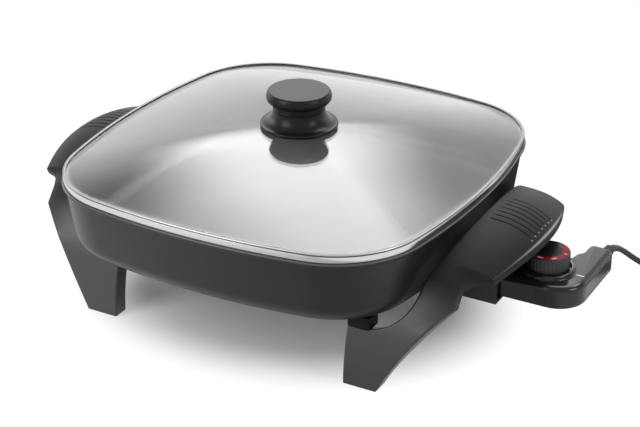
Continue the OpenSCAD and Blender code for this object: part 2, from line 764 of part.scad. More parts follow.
module control_lower_shell() {
    color([0.13, 0.13, 0.14])
    difference() {
        union() {
            difference() {
                translate([0, 0, ctrl_z]) linear_extrude(lower_h) ctrl_plan(0);
                translate([0, 0, ctrl_z + shell_t]) linear_extrude(lower_h) ctrl_plan(shell_t);
            }
            at_ctrl_screws() translate([0, 0, ctrl_z]) cylinder(r = boss_r, h = lower_h);
            for (i = [0 : grip_ribs - 1], s = [-1, 1])
                translate([dial_x - 3 + 2.4 * i, s > 0 ? neck_y - 0.4 : -neck_y - 0.6, ctrl_z + 1])
                    cube([1.2, 1, i < 4 && s > 0 ? 0.4 : lower_h - 2]);
        }
        at_ctrl_screws() {
            translate([0, 0, ctrl_z - 1]) cylinder(r = shell_screw_r + run_fit, h = lower_h + 2);
            translate([0, 0, ctrl_z - 1]) cylinder(r = 2.9, h = 3.2);
        }
        translate([nose_x - 1, 0, probe_z])
            rotate([0, 90, 0]) cylinder(r = probe_r + run_fit, h = shell_t + 2);
        for (s = [-1, 1])
            translate([nose_x - 1, s * terminal_y, element_z])
                rotate([0, 90, 0]) cylinder(r = pin_r + 0.4, h = shell_t + 2);
        translate([lead_x - relief_w / 2, arm_y - shell_t - 1, lead_z - relief_h / 2])
            cube([relief_w, shell_t + 2, relief_h + 1]);
    }
}

module control_upper_shell() {
    color([0.10, 0.10, 0.11])
    difference() {
        union() {
            difference() {
                union() {
                    translate([0, 0, split_z]) linear_extrude(ctrl_top - split_z - 1.4) ctrl_plan(0);
                    translate([0, 0, split_z + 1]) linear_extrude(ctrl_top - split_z - 1.7) ctrl_plan(0.6);
                    translate([0, 0, split_z + 1]) linear_extrude(ctrl_top - split_z - 1) ctrl_plan(1.6);
                }
                translate([0, 0, split_z - 1])
                    linear_extrude(ctrl_top - split_z + 1 - shell_t) ctrl_plan(shell_t);
            }
            translate([dial_x, dial_y, ctrl_top - 1]) cylinder(r = collar_r, h = collar_h + 1, $fn = 72);
            translate([dial_x, dial_y, split_z]) cylinder(r = 6, h = ctrl_top - split_z);
            at_ctrl_screws() translate([0, 0, split_z]) cylinder(r = boss_r, h = ctrl_top - split_z - 1);
        }
        translate([dial_x, dial_y, ctrl_top + 0.6])
            cylinder(r = dial_r + 1.2, h = collar_h + 1, $fn = 72);
        translate([dial_x, dial_y, split_z - 1])
            cylinder(r = shaft_r + run_fit, h = ctrl_top - split_z + collar_h + 2);
        at_ctrl_screws() translate([0, 0, split_z - 1]) cylinder(r = shell_screw_r + run_fit, h = 3.6);
    }
}

module control_screws() {
    color([0.7, 0.7, 0.72])
    at_ctrl_screws()
        translate([0, 0, ctrl_z + 2.2])
            difference() {
                screw(shell_screw_r, lower_h, 2.7, 1.7);
                translate([0, 0, -1.9]) cross_slot(3.4);
            }
}

dial_z = ctrl_top + 1.6;                    // underside of the dial, inside its collar
dial_top = dial_z + dial_h + collar_h - 1.2;
plate_t = 0.8;
flute_n = 36;

module dial_knob() {
    full = dial_top - dial_z;
    color([0.10, 0.10, 0.10])
    translate([dial_x, dial_y, dial_z])
        difference() {
            union() {
                cylinder(r = dial_r, h = full - 0.8, $fn = 72);
                cylinder(r = dial_r - 0.6, h = full, $fn = 72);
            }
            for (i = [0 : flute_n - 1])
                rotate([0, 0, 360 * i / flute_n])
                    translate([dial_r + 0.15, 0, 3])
                        rotate([0, 0, 45]) cube([0.9, 0.9, full], center = false);
            translate([0, 0, full - plate_t]) cylinder(r = dial_r - 1, h = plate_t + 1, $fn = 72);
            difference() {
                translate([0, 0, -1]) cylinder(r = dial_r - 2.2, h = full - 2.4, $fn = 72);
                translate([0, 0, -2]) cylinder(r = 5.5, h = full);
            }
            translate([0, 0, -1]) cylinder(r = shaft_r, h = 9);
        }
}

module dial_plate() {
    color([0.55, 0.05, 0.08])
    translate([dial_x, dial_y, dial_top - plate_t])
        difference() {
            cylinder(r = dial_r - 1, h = plate_t - 0.1, $fn = 72);
            translate([0, 0, plate_t - 0.2]) cylinder(r = dial_r - 4.6, h = 1, $fn = 72);
        }
}

shaft_z0 = ctrl_z + 9.2;

module dial_shaft() {
    color([0.72, 0.73, 0.75])
    translate([dial_x, dial_y, shaft_z0]) {
        cylinder(r = shaft_r, h = dial_z + 8 - shaft_z0);
        translate([0, 0, -1.2]) cylinder(r = 1.4, h = 1.5);
    }
}

probe_x1 = nose_x + 26;

module probe_tube() {
    color([0.78, 0.79, 0.80])
    translate([probe_tip_x, 0, probe_z])
        rotate([0, 90, 0])
            difference() {
                union() {
                    translate([0, 0, probe_r]) cylinder(r = probe_r, h = probe_x1 - probe_tip_x - probe_r);
                    translate([0, 0, probe_r]) sphere(r = probe_r);
                    translate([0, 0, nose_x + shell_t + 0.1 - probe_tip_x]) cylinder(r = 5, h = 1.6);
                }
                translate([0, 0, probe_r]) cylinder(r = 2.1, h = probe_x1);
            }
}

module probe_rod() {
    color([0.88, 0.86, 0.80])
    translate([probe_tip_x + probe_r + 0.5, 0, probe_z])
        rotate([0, 90, 0]) cylinder(r = 1.6, h = probe_x1 + 6 - probe_tip_x - probe_r);
}

bracket_x0 = nose_x + 18;
bracket_z = ctrl_z + shell_t + 0.05;

module thermostat_bracket() {
    color([0.66, 0.66, 0.64])
    difference() {
        union() {
            translate([bracket_x0, -8, bracket_z]) cube([50, 16, 1.2]);
            translate([bracket_x0, -8, bracket_z]) cube([1.2, 16, 10]);
            translate([dial_x - 9, -8, bracket_z]) cube([14, 16, 2]);
        }
        translate([bracket_x0 - 1, 0, probe_z]) rotate([0, 90, 0]) cylinder(r = probe_r + run_fit, h = 4);
    }
}

stack_x = dial_x + 12;

module contact_stack() {
    color([0.90, 0.88, 0.82])
    translate([stack_x - 4, -5, bracket_z + 1.25])
        difference() {
            cube([8, 10, 6]);
            for (z = [1.6, 3.6]) translate([-1, -1, z]) cube([10, 12, 0.5]);
        }
}

module contact_blades() {
    color([0.72, 0.45, 0.22])
    for (z = [1.6, 3.6])
        translate([stack_x - 20, -3, bracket_z + 1.25 + z + 0.05]) cube([24, 6, 0.4]);
}

contact_len = 20;
contact_x1 = nose_x + shell_t + 0.5 + contact_len;

module female_contacts() {
    color([0.80, 0.70, 0.40])
    for (s = [-1, 1])
        translate([contact_x1 - contact_len, s * terminal_y, element_z])
            rotate([0, 90, 0])
                difference() {
                    cylinder(r = pin_r + 0.9, h = contact_len);
                    translate([0, 0, -1]) cylinder(r = pin_r + run_fit, h = contact_len - 0.5);
                }
}

wire_r = 1.1;

module lead_wires() {
    color([0.85, 0.85, 0.82]) {
        round_tube([[contact_x1, terminal_y, element_z], [contact_x1 + 11, terminal_y, element_z],
            [dial_x - 3, terminal_y + 5.5, element_z], [dial_x + 9, dial_y + 17.5, element_z],
            [arm_x0 + 4, bay_y - 4.6, element_z], [lead_x - 1, bay_y, element_z],
            [lead_x - 0.5, bay_y + 5, element_z], [lead_x - 1.6, arm_y - 15, lead_z],
            [lead_x - 1.6, relief_y0 - 0.5, lead_z]], wire_r, 8);
        round_tube([[contact_x1, -terminal_y, element_z], [dial_x - 6, -terminal_y, element_z],
            [dial_x + 7.5, -terminal_y + 1, element_z], [ctrl_x1 - 15.5, -6.5, element_z],
            [ctrl_x1 - 11, 2, element_z], [ctrl_x1 - 7, 14, element_z], [ctrl_x1 - 4.5, 28, element_z],
            [ctrl_x1 - 4, bay_y + 4, element_z], [lead_x + 1.6, arm_y - 15, lead_z],
            [lead_x + 1.6, relief_y0 - 0.5, lead_z]], wire_r, 8);
    }
}

// ---- strain relief and mains lead ---------------------------------------------------
relief_w = 8.4;
relief_h = 7;
relief_y0 = arm_y - 10.5;
relief_y1 = arm_y + 13.5;

module strain_relief() {
    steps = 5;
    color([0.08, 0.08, 0.08])
    difference() {
        union() {
            translate([lead_x - relief_w / 2 + 0.1, relief_y0 + 4, lead_z - relief_h / 2 + 0.1])
                cube([relief_w - 0.2, arm_y + 1 - relief_y0 - 4, relief_h - 0.15]);
            translate([lead_x - relief_w / 2 - 1, arm_y - shell_t - 2.6, lead_z - relief_h / 2])
                cube([relief_w + 2, 2.4, relief_h - 0.1]);
            translate([lead_x - relief_w / 2 + 0.6, relief_y0, lead_z - relief_h / 2 + 0.6])
                cube([relief_w - 1.2, 5, relief_h - 1.2]);
            for (i = [0 : steps - 1]) {
                w = relief_w - 0.2 * i;
                h = relief_h - 0.1 - 0.3 * i;
                translate([lead_x - w / 2, arm_y + 0.6 + 2.6 * i, lead_z - h / 2]) cube([w, 1.7, h]);
            }
            translate([lead_x - relief_w / 2 + 0.7, arm_y, lead_z - cord_t / 2 - 0.6])
                cube([relief_w - 1.4, relief_y1 - arm_y, cord_t + 1.2]);
        }
        translate([lead_x - cord_w / 2, relief_y0 + 2, lead_z - cord_t / 2])
            cube([cord_w, relief_y1 - relief_y0, cord_t]);
    }
}

// The lead's route from its strain relief to the coil, and from the coil to the plug
coil_x = 298;
coil_y = 150;
pitch = cord_w + coil_gap;
coil_r1 = coil_r + pitch * coil_turns;
lay_z = cord_t / 2 + 0.1;
lead_route = [
    [lead_x, relief_y0 + 2.2, lead_z], [lead_x, relief_y1, lead_z], [224.3, 79, 53.2],
    [226.4, 84.5, 50], [229, 89, 45.8], [232, 93.5, 41], [235, 99, 36], [237.6, 105.5, 30.8],
    [240, 113, 25.2], [242, 121.5, 19.4], [243.6, 130.5, 13.4], [244.8, 139, 8], [245.8, 147, 4.2],
    [247, 155, 2.5], [249, 163, 2.2], [252, 171, 2.2], [256.4, 178.4, 2.2], [262, 184.7, 2.2]];

module cord_tube() {
    color([0.12, 0.12, 0.12]) flat_tube(lead_route);
}

module cord_coil() {
    color([0.12, 0.12, 0.12])
    translate([coil_x, coil_y, 0])
        rotate_extrude($fn = 72)
            translate([coil_r - cord_w / 2, 0]) square([coil_r1 - coil_r + cord_w, coil_top]);
}

// ---- plug ---------------------------------------------------------------------------
plug_y = coil_y + 29;
plug_x0 = coil_x - 14;
plug_len = 26;
plug_w = 24;
plug_t = 13;
coil_top = cord_t + 0.2;
plug_z = coil_top + 0.05 + plug_t / 2;
tail_z = coil_top + 0.05 + cord_t / 2;    // the lead's last part lies on the coil
tail_route = [
    [coil_x - 42.5, coil_y + 2, tail_z], [coil_x - 42, coil_y + 9, tail_z],
    [coil_x - 39, coil_y + 16.5, tail_z + 0.5], [coil_x - 33.5, coil_y + 23, tail_z + 1.8],
    [coil_x - 26, coil_y + 27.4, plug_z - 1], [plug_x0 - 4, plug_y, plug_z],
    [plug_x0 + 2, plug_y, plug_z]];
blade_gap = 12.7;
blade_w = 6.35;
blade_t = 1.5;
blade_len = 16;
guard_len = 16;

module cord_tail() {
    color([0.12, 0.12, 0.12]) flat_tube(tail_route);
}

module plug_body() {
    color([0.10, 0.10, 0.10])
    translate([plug_x0, plug_y, plug_z])
        difference() {
            union() {
                for (i = [0 : 4])
                    translate([3.2 * i, -4.6 - 0.3 * i, -3.4 - 0.2 * i])
                        cube([2.2, 9.2 + 0.6 * i, 6.8 + 0.4 * i]);
                translate([0, -4.1, -2.9]) cube([guard_len, 8.2, 5.8]);
                translate([guard_len, 0, 0])
                    rotate([90, 0, 90])
                        linear_extrude(plug_len) plug_section(plug_w, plug_t);
                translate([guard_len - 3, 0, 0])
                    rotate([90, 0, 90])
                        linear_extrude(4) plug_section(plug_w - 6, plug_t - 4);
            }
            translate([-1, -cord_w / 2 - 0.1, -cord_t / 2 - 0.1]) cube([8, cord_w + 0.2, cord_t + 0.2]);
            for (s = [-1, 1])
                translate([guard_len + plug_len - 8, s * blade_gap / 2 - blade_t / 2, -blade_w / 2])
                    cube([10, blade_t, blade_w]);
        }
}

module plug_section(w, t) {
    r = 3.5;
    square([w - 2 * r, t], center = true);
    square([w, t - 2 * r], center = true);
    for (sx = [-1, 1], sy = [-1, 1])
        translate([sx * (w / 2 - r), sy * (t / 2 - r)]) circle(r);
}

module plug_blades() {
    color([0.80, 0.70, 0.42])
    for (s = [-1, 1])
        translate([plug_x0 + guard_len + plug_len - 8, plug_y + s * blade_gap / 2 - blade_t / 2,
                plug_z - blade_w / 2])
            difference() {
                cube([8 + blade_len, blade_t, blade_w]);
                translate([8 + blade_len - 4, blade_t + 1, blade_w / 2])
                    rotate([90, 0, 0]) cylinder(r = 1.6, h = blade_t + 2);
            }
}

// ---- assembly -----------------------------------------------------------------------
middle_x = (ctrl_x1 - wing_x1) / 2;         // middle of the footprint, from the pan's middle

module placed() {
    translate([-middle_x, 0, 0]) children();
}

placed() pan();
placed() heating_element();
placed() element_seals();
placed() terminal_pins();
placed() socket_guard();
placed() guard_screws();
placed() left_frame();
placed() right_frame();
placed() frame_spacers();
placed() frame_screws();
placed() lid_glass();
placed() lid_rim();
placed() knob_base();
placed() knob_grip();
placed() knob_insert();
placed() knob_washer();
placed() knob_screw();
placed() control_lower_shell();
placed() control_upper_shell();
placed() control_screws();
placed() dial_knob();
placed() dial_plate();
placed() dial_shaft();
placed() probe_tube();
placed() probe_rod();
placed() thermostat_bracket();
placed() contact_stack();
placed() contact_blades();
placed() female_contacts();
placed() lead_wires();
placed() strain_relief();
placed() cord_tube();
placed() cord_coil();
placed() cord_tail();
placed() plug_body();
placed() plug_blades();
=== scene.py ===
# %% [markdown]
# # A square electric skillet, made piece by piece
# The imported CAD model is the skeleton: it says where every piece is and what moves.
# This script gives each piece its true surface and its finish. It comes in cells, as a notebook does.

# %% Load the frame
from math import radians, pi
import bpy
import bmesh
import numpy as np
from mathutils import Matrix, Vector


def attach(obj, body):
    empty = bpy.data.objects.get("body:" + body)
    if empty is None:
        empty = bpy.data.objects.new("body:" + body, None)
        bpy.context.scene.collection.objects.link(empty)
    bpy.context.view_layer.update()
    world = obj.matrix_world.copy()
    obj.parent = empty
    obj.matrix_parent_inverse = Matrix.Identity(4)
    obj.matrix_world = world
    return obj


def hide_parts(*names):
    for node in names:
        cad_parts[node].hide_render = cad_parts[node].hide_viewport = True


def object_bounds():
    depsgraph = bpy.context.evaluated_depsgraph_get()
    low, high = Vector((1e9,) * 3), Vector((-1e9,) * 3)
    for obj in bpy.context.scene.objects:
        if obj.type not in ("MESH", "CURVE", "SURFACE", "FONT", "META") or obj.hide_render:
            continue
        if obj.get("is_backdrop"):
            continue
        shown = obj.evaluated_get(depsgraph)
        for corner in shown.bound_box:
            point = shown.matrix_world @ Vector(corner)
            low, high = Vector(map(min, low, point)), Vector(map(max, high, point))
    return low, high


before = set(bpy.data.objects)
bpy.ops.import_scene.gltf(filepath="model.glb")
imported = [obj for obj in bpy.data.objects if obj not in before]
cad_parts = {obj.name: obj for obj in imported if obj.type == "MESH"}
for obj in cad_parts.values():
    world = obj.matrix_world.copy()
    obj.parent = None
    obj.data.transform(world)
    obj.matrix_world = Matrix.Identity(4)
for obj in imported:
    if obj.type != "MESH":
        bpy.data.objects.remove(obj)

cad_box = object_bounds()
print("CAD box in metres:", [round(v, 4) for v in (*cad_box[0], *cad_box[1])])

# %% [markdown]
# ## One set of measurements
# The skillet is measured in millimetres from the middle of its pan, on the table. The frame's origin
# is in the middle of the whole footprint, a little to the right of that, and in metres. One helper
# goes from the first to the second, so every shape below is written in plain millimetres.

# %% Millimetres to the frame
MIDDLE = 14.95


def metres(points):
    """Millimetres from the pan's middle, as an array, to metres in the frame."""
    return (np.asarray(points, float) - (MIDDLE, 0, 0)) * 0.001


# %% [markdown]
# ## The camera
# A long lens some way off, 29 degrees round to the right and 26 degrees up. It could be turned by three
# angles, but it is easier to say which way lies back to it and how far. It is aimed straight at the
# middle of what it shows, so no lens shift is needed.

# %% Camera
azimuth, elevation, reach = radians(28.771), radians(26.412), 1.31037
back = Vector((np.sin(azimuth) * np.cos(elevation), -np.cos(azimuth) * np.cos(elevation),
               np.sin(elevation)))
across = (-back).cross(Vector((0, 0, 1))).normalized()
above = across.cross(-back)
aim = across * 0.015455 + above * 0.054987
lens = bpy.data.cameras.new("view")
lens.lens, lens.sensor_width = 94.73, 36.0
lens.clip_start, lens.clip_end = 0.05, 20
camera = bpy.data.objects.new("view", lens)
camera.location = aim + back * reach + Vector((-MIDDLE * 0.001, 0, 0))
camera.rotation_mode = "QUATERNION"
camera.rotation_quaternion = (-back).to_track_quat("-Z", "Y")
bpy.context.scene.collection.objects.link(camera)
bpy.context.scene.camera = camera
print("camera at", [round(v, 3) for v in camera.location])

# %% [markdown]
# ## Making surfaces
# Nearly every piece here is a stack of rings: a cross-section carried round, up or along something.
# A ring is a row of points, and the stack is one array, so numpy works out the whole shape at once.
# One function then joins the rings with four-sided faces and closes the ends.

# %% A mesh from a stack of rings
def stack(rings, looped=False):
    """Point j of ring k has number k n + j; a face joins it to the next point and to both of them on the
    next ring. looped joins the last ring to the first, else each end gets one flat face."""
    rings = np.asarray(rings, float)
    m, n = rings.shape[:2]
    k, j = np.meshgrid(np.arange(m if looped else m - 1), np.arange(n), indexing="ij")
    k2, j2 = (k + 1) % m, (j + 1) % n
    faces = np.stack([k * n + j, k * n + j2, k2 * n + j2, k2 * n + j], -1).reshape(-1, 4).tolist()
    if not looped:
        faces += [list(range(n))[::-1], list(range((m - 1) * n, m * n))]
    return rings.reshape(-1, 3), faces


def joined(*parts):
    """Several (points, faces) pairs as one: each pair's numbers go up by the points before it."""
    points, faces, base = [], [], 0
    for p, f in parts:
        points.append(np.asarray(p))
        faces += [[i + base for i in face] for face in f]
        base += len(p)
    return np.vstack(points), faces


# %% [markdown]
# A piece is finished when its faces look outwards and its smooth and sharp edges are told apart. The
# volume that the faces enclose comes out negative if they look inwards, so that is how it is tested.

# %% A finished piece
def piece(name, shape, body, stands_for=(), *, sharp):
    """A mesh object that rides on a body, in the frame's metres, with its faces outwards. Edges that turn
    by more than sharp degrees stay crisp."""
    points, faces = shape
    mesh = bpy.data.meshes.new(name)
    mesh.from_pydata(metres(points).tolist(), [], faces)
    mesh.update()
    b = bmesh.new()
    b.from_mesh(mesh)
    if b.calc_volume(signed=True) < 0:
        bmesh.ops.reverse_faces(b, faces=b.faces)
    b.to_mesh(mesh)
    b.free()
    mesh.polygons.foreach_set("use_smooth", [True] * len(mesh.polygons))
    mesh.set_sharp_from_angle(angle=radians(sharp))
    obj = bpy.data.objects.new(name, mesh)
    bpy.context.scene.collection.objects.link(obj)
    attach(obj, body)
    if stands_for:
        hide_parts(*stands_for)
    print(name, len(mesh.polygons), "faces")
    return obj


# %% [markdown]
# Turned pieces, such as a knob, are a profile of radius and height spun round an upright axis.
# Swept pieces, such as a cord, are a cross-section carried along a route with its width kept level.

# %% Turned and swept shapes
def turned(profile, centre=(0, 0), n=128, looped=False):
    """Ring k has radius r_k at height z_k: x = r cos a, y = r sin a for n even steps of a."""
    profile = np.asarray(profile, float)
    a = np.arange(n) * 2 * pi / n
    r, z = profile[:, :1], profile[:, 1:]
    return stack(np.stack([centre[0] + r * np.cos(a), centre[1] + r * np.sin(a), z + 0 * a], -1), looped)


def swept(route, section):
    """At each point of the route, section (side, up) stands across it: point + side * left + up * over.
    left is level, and over is square to left and to the way ahead."""
    route, section = np.asarray(route, float), np.asarray(section, float)
    ahead = np.gradient(route, axis=0)
    ahead /= np.linalg.norm(ahead, axis=1, keepdims=True)
    left = np.cross((0, 0, 1), ahead)
    left /= np.linalg.norm(left, axis=1, keepdims=True)
    over = np.cross(ahead, left)
    if section.ndim == 2:
        section = np.broadcast_to(section, (len(route), *section.shape))
    return stack(route[:, None] + section[..., :1] * left[:, None] + section[..., 1:] * over[:, None])


STEP = 1.5  # millimetres between the points of a finished route


def smooth_route(knots):
    """A curve through the knots (each span a cubic that leaves and arrives along its neighbours), then
    points an even step apart along it."""
    p = np.asarray(knots, float)
    p = np.vstack([2 * p[0] - p[1], p, 2 * p[-1] - p[-2]])
    t = np.linspace(0, 1, 12, endpoint=False)[:, None, None]
    a, b, c, d = p[:-3], p[1:-2], p[2:-1], p[3:]
    curve = 0.5 * (2 * b + (c - a) * t + (2 * a - 5 * b + 4 * c - d) * t**2
                   + (3 * b - a - 3 * c + d) * t**3)
    curve = np.vstack([curve.transpose(1, 0, 2).reshape(-1, 3), p[-2]])
    far = np.concatenate([[0], np.cumsum(np.linalg.norm(np.diff(curve, axis=0), axis=1))])
    even = np.linspace(0, far[-1], int(far[-1] / STEP) + 2)
    return np.stack([np.interp(even, far, curve[:, i]) for i in range(3)], 1)


# %% [markdown]
# ## The mains lead
# A flat two-core lead leaves the control's rear end, drops to the table and is coiled out of the way,
# with the plug laid on the coil. A curve object with a bevel could do, but a mesh of its own gives the
# flat section and is measured as it stands. Its path is one smooth route of about 0.7 m. Averaging each
# point with its neighbours many times takes out every sharp turn, as a stiff lead does.

# %% An S-shaped rise
def ease(x, lo, hi):
    """0 below lo and 1 above hi, with an S-shaped rise between: t t (3 - 2 t)."""
    t = np.clip((x - lo) / (hi - lo), 0, 1)
    return t * t * (3 - 2 * t)


# %% Points that the lead goes through
COIL = np.array([298.0, 150.0])
lead_x, lead_z = 223.25, 54.5
drop = [(lead_x, 51.2, lead_z), (lead_x, 62, lead_z), (lead_x, 73, lead_z), (224.3, 79, 53.2),
        (226.4, 84.5, 50), (229, 89, 45.8), (232, 93.5, 41), (235, 99, 36), (237.6, 105.5, 30.8),
        (240, 113, 25.2), (242, 121.5, 19.4), (243.6, 130.5, 13.4), (244.8, 139, 8), (245.8, 147, 4.2),
        (247, 155, 2.5), (249, 163, 2.2), (252, 171, 2.2), (256.4, 178.4, 2.2), (262, 184.7, 2.2)]
turn = np.arange(14, 680, 12.0)
radius = 43.4 + 6.6 * np.exp(-turn / 26) - 7.2 * ease(turn, 300, 450) + 6.3 * ease(turn, 590, 690)
climb = 2.2 + 4.4 * ease(turn, 540, 612)
angle = np.radians(136 - turn)
coil = np.stack([COIL[0] + radius * np.cos(angle), COIL[1] + radius * np.sin(angle), climb], 1)
turn, lifted = np.radians([165, 148, 131, 112, 97]), (6.6, 7.1, 8.4, 9.95, 10.9)
tail = np.stack([283 + 27 * np.cos(turn), 152 + 27 * np.sin(turn), lifted], 1)
tail = [*tail, (286, 179, 10.95)]
print(len(drop), "points down,", len(coil), "round the coil,", len(tail), "on to the plug")

# %% [markdown]
# The radius of a bend is the length of a step divided by the turn from one step to the next. The
# tightest one tells whether a real lead of this thickness would take it.

# %% The lead's route
SMOOTHING = 40  # rounds
route = smooth_route([*drop, *coil, *tail])
for _ in range(SMOOTHING):
    route = np.vstack([route[:1], (route[:-2] + 2 * route[1:-1] + route[2:]) / 4, route[-1:]])
lead_length = np.linalg.norm(np.diff(route, axis=0), axis=1).sum() / 1000
steps = np.diff(route, axis=0)
steps /= np.linalg.norm(steps, axis=1, keepdims=True)
turning = np.arccos(np.clip((steps[1:] * steps[:-1]).sum(1), -1, 1))
tightest = int(np.argmax(turning))
print("the lead is", round(lead_length, 3), "m long; tightest bend", round(STEP / turning[tightest], 1),
      "mm at", route[tightest].round(1))

# %% [markdown]
# The lead's section is two round cores side by side with a shallow valley between them. A full circle
# is cut in two halves that move apart, and the height dips where they meet.

# %% The lead's section
CORD_W, CORD_T = 6.6, 4.2
a = np.linspace(0, 2 * pi, 40, endpoint=False)
core = CORD_T / 2
side = np.where(np.cos(a) > 0, 1, -1) * (CORD_W / 2 - core) + core * np.cos(a)
valley = 1 - 0.16 * np.exp(-(side / 0.55) ** 2)
lead = piece("mains_lead", swept(route, np.stack([side, core * np.sin(a) * valley], 1)), "control",
             ["cord_tube", "cord_coil", "cord_tail"], sharp=70)

# %% [markdown]
# ## Pan outline
# Seen from above, the pan and its lid are a square with bowed sides: four shallow arcs for the sides
# and four tight arcs for the corners, each running smoothly into the next. Two arcs meet without a
# kink where their centres and the meeting point lie on one line, which fixes the corner's centre.

# %% The outline, drawn in by any amount
HALF_W, HALF_L, SIDE_R, CORNER_R = 151.2, 155.8, 510.0, 71.5


def outline(inset, z=0.0):
    """Three arcs make a quarter, each point centre + (radius - inset) (cos a, sin a); mirrors make the
    rest."""
    p, q = np.array([-(SIDE_R - HALF_W), 0]), np.array([0, -(SIDE_R - HALF_L)])
    rho, d = SIDE_R - CORNER_R, np.linalg.norm(q - p)
    along = (q - p) / d
    corner = (p + q) / 2 - np.sqrt(rho**2 - d**2 / 4) * np.array([along[1], -along[0]])
    a0 = np.arctan2(*(corner - p)[::-1])
    a1 = np.arctan2(*(corner - q)[::-1])
    arcs = [(p, SIDE_R, 0, a0, 10), (corner, CORNER_R, a0, a1, 34), (q, SIDE_R, a1, pi / 2, 10)]
    quarter = np.vstack([c + (r - inset) * np.stack([np.cos(t), np.sin(t)], 1)
                         for c, r, s, e, m in arcs for t in [np.linspace(s, e, m, endpoint=False)]])
    top = np.array([[0, HALF_L - inset]])
    right = np.vstack([quarter, top])
    ring = np.vstack([right, (right * (-1, 1))[-2:0:-1], -right, (right * (1, -1))[-2:0:-1]])
    return np.column_stack([ring, np.full(len(ring), float(z))])


print("outline", len(outline(0)), "points, corner reach", round(float(np.abs(outline(0)).max()), 1))

# %% [markdown]
# ## The pan
# Cast aluminium: a wall that leans in as it goes down, turns under with a generous radius and ends
# in a flat base. A thin flange runs round the rim. The wall is 3 mm thick and the inside follows the
# outside. A box pulled into shape and subdivided would only come near it, so the profile is written
# down as inset against height, and every ring is the outline drawn in that far.

# %% Pan profile
RIM_Z, BASE_Z, FLOOR_Z, WALL = 110.6, 58.0, 62.0, 3


def lean(z):
    """How far the outer wall stands in from the rim's edge at height z: it grows evenly on the way down."""
    return 2.6 + 6.0 * (RIM_Z - 3 - z) / (RIM_Z - BASE_Z - 3)


def bend(r, z0, extra):
    """A quarter turn of radius r from a flat at height z0 up to the wall, which is extra thick there:
    inset = lean + extra + r (1 - sin t), height = z0 + r (1 - cos t)."""
    t = np.radians(np.linspace(0, 90, 14))
    z = z0 + r * (1 - np.cos(t))
    return np.stack([lean(z) + extra + r * (1 - np.sin(t)), z], 1)


rim = [(2.6, 105.5), (2.5, 106.5), (2.1, 107.1), (1.2, 107.4), (0.45, 107.65), (0.05, 108.2),
       (0, 108.9), (0.12, 109.6), (0.5, 110.1), (1.0, 110.28), (1.45, 110.15), (1.7, 109.85),
       (1.85, 109.6), (2.5, 109.6), (2.75, 109.95), (3.1, 110.45), (3.5, 110.6), (4.3, 110.6),
       (5.2, 110.35), (5.65, 109.7)]
profile = np.vstack([bend(15, BASE_Z, 0), rim, bend(12, FLOOR_Z, WALL)[::-1]])
inner = [outline(i, FLOOR_Z) for i in (36, 66)]
outer = [outline(i, BASE_Z) for i in (66, 36)]
vessel = stack([*outer, *[outline(i, z) for i, z in profile], *inner])
print("vessel", len(vessel[0]), "points")

# %% [markdown]
# Under the base, two cast walls hold the heating element in a loop. They run into a block that
# carries the terminals and the socket for the probe. Four bosses take the frames' screws. Both walls
# are one section, and its mirror, carried along the element's own route.

# %% Under the pan
LOOP_X, LOOP_R, NECK_R, TERM_Y, SHEATH_Z = -10.0, 80.0, 20.0, 12.5, 53.4
bend_y = TERM_Y + NECK_R
bend_x = LOOP_X + np.sqrt((LOOP_R + NECK_R) ** 2 - bend_y**2)
mouth = np.arctan2(bend_y, bend_x - LOOP_X)


def element_route(x_end):
    """Straight in beside the probe, a bend outwards, round the loop, and the mirror of that back out."""
    t = np.linspace(pi * 1.5, pi + mouth, 14)
    neck = np.stack([bend_x + NECK_R * np.cos(t), bend_y + NECK_R * np.sin(t)], 1)
    u = np.linspace(mouth, 2 * pi - mouth, 110)[1:-1]
    loop = np.stack([LOOP_X + LOOP_R * np.cos(u), LOOP_R * np.sin(u)], 1)
    straight = np.array([[x, TERM_Y] for x in np.linspace(x_end, bend_x + 2, 12)])
    half = np.vstack([straight, neck])
    path = np.vstack([half, loop, (half * (1, -1))[::-1]])
    return np.column_stack([path, np.full(len(path), SHEATH_Z)])


def soft_box(x0, x1, y0, y1, z0, z1, r):
    """A block whose upright edges are rounded by r: rings of a rounded rectangle, drawn in at both ends.
    Each corner of a ring is centre + (r - drawn in) (cos t, sin t)."""
    t = np.linspace(0, pi / 2, 5)
    quarter = np.stack([np.cos(t), np.sin(t)], 1)
    turns = [(1, 1, quarter), (-1, 1, quarter[::-1]), (-1, -1, quarter), (1, -1, quarter[::-1])]

    def ring(d, z):
        """The rounded rectangle drawn in by d, at height z."""
        c = np.array([(x1 - x0) / 2 - r, (y1 - y0) / 2 - r])
        pts = np.vstack([np.array([sx, sy]) * (c + (r - d) * q) for sx, sy, q in turns])
        return np.column_stack([pts + ((x0 + x1) / 2, (y0 + y1) / 2), np.full(len(pts), z)])

    e = min(r, 0.6) * 0.9
    return stack([ring(e, z0), ring(e * 0.3, z0 + e * 0.3), ring(0, z0 + e), ring(0, z1 - e),
                  ring(e * 0.3, z1 - e * 0.3), ring(e, z1)])


holder = np.array([[4.1, -3.3], [4.6, -3.9], [7.4, -3.9], [8, -3.3], [8.6, 4.65], [4.1, 4.65]])
holders = [swept(element_route(96), holder), swept(element_route(96), (holder * (-1, 1))[::-1])]
block = [soft_box(92, 138, y0, y1, 49.5, 58.4, 0.9)
         for y0, y1 in ((-25, -16.6), (-8.4, 8.4), (16.6, 25))]
boss_profile = [(2.1, 58.4), (2.1, 53.2), (2.5, 53), (5.4, 53), (6, 53.6), (6.6, 58.4)]
boss = [turned(boss_profile, (sx * 104, sy * 97), 48, True) for sx in (-1, 1) for sy in (-1, 1)]
pan = piece("pan_casting", joined(vessel, *holders, *block, *boss), "base", ["pan"], sharp=40)

# %% [markdown]
# The element is a steel tube, 8 mm across, that lies between those two walls and ends at the terminals.
# A round section goes along the route that the walls follow, so the two can't drift apart.

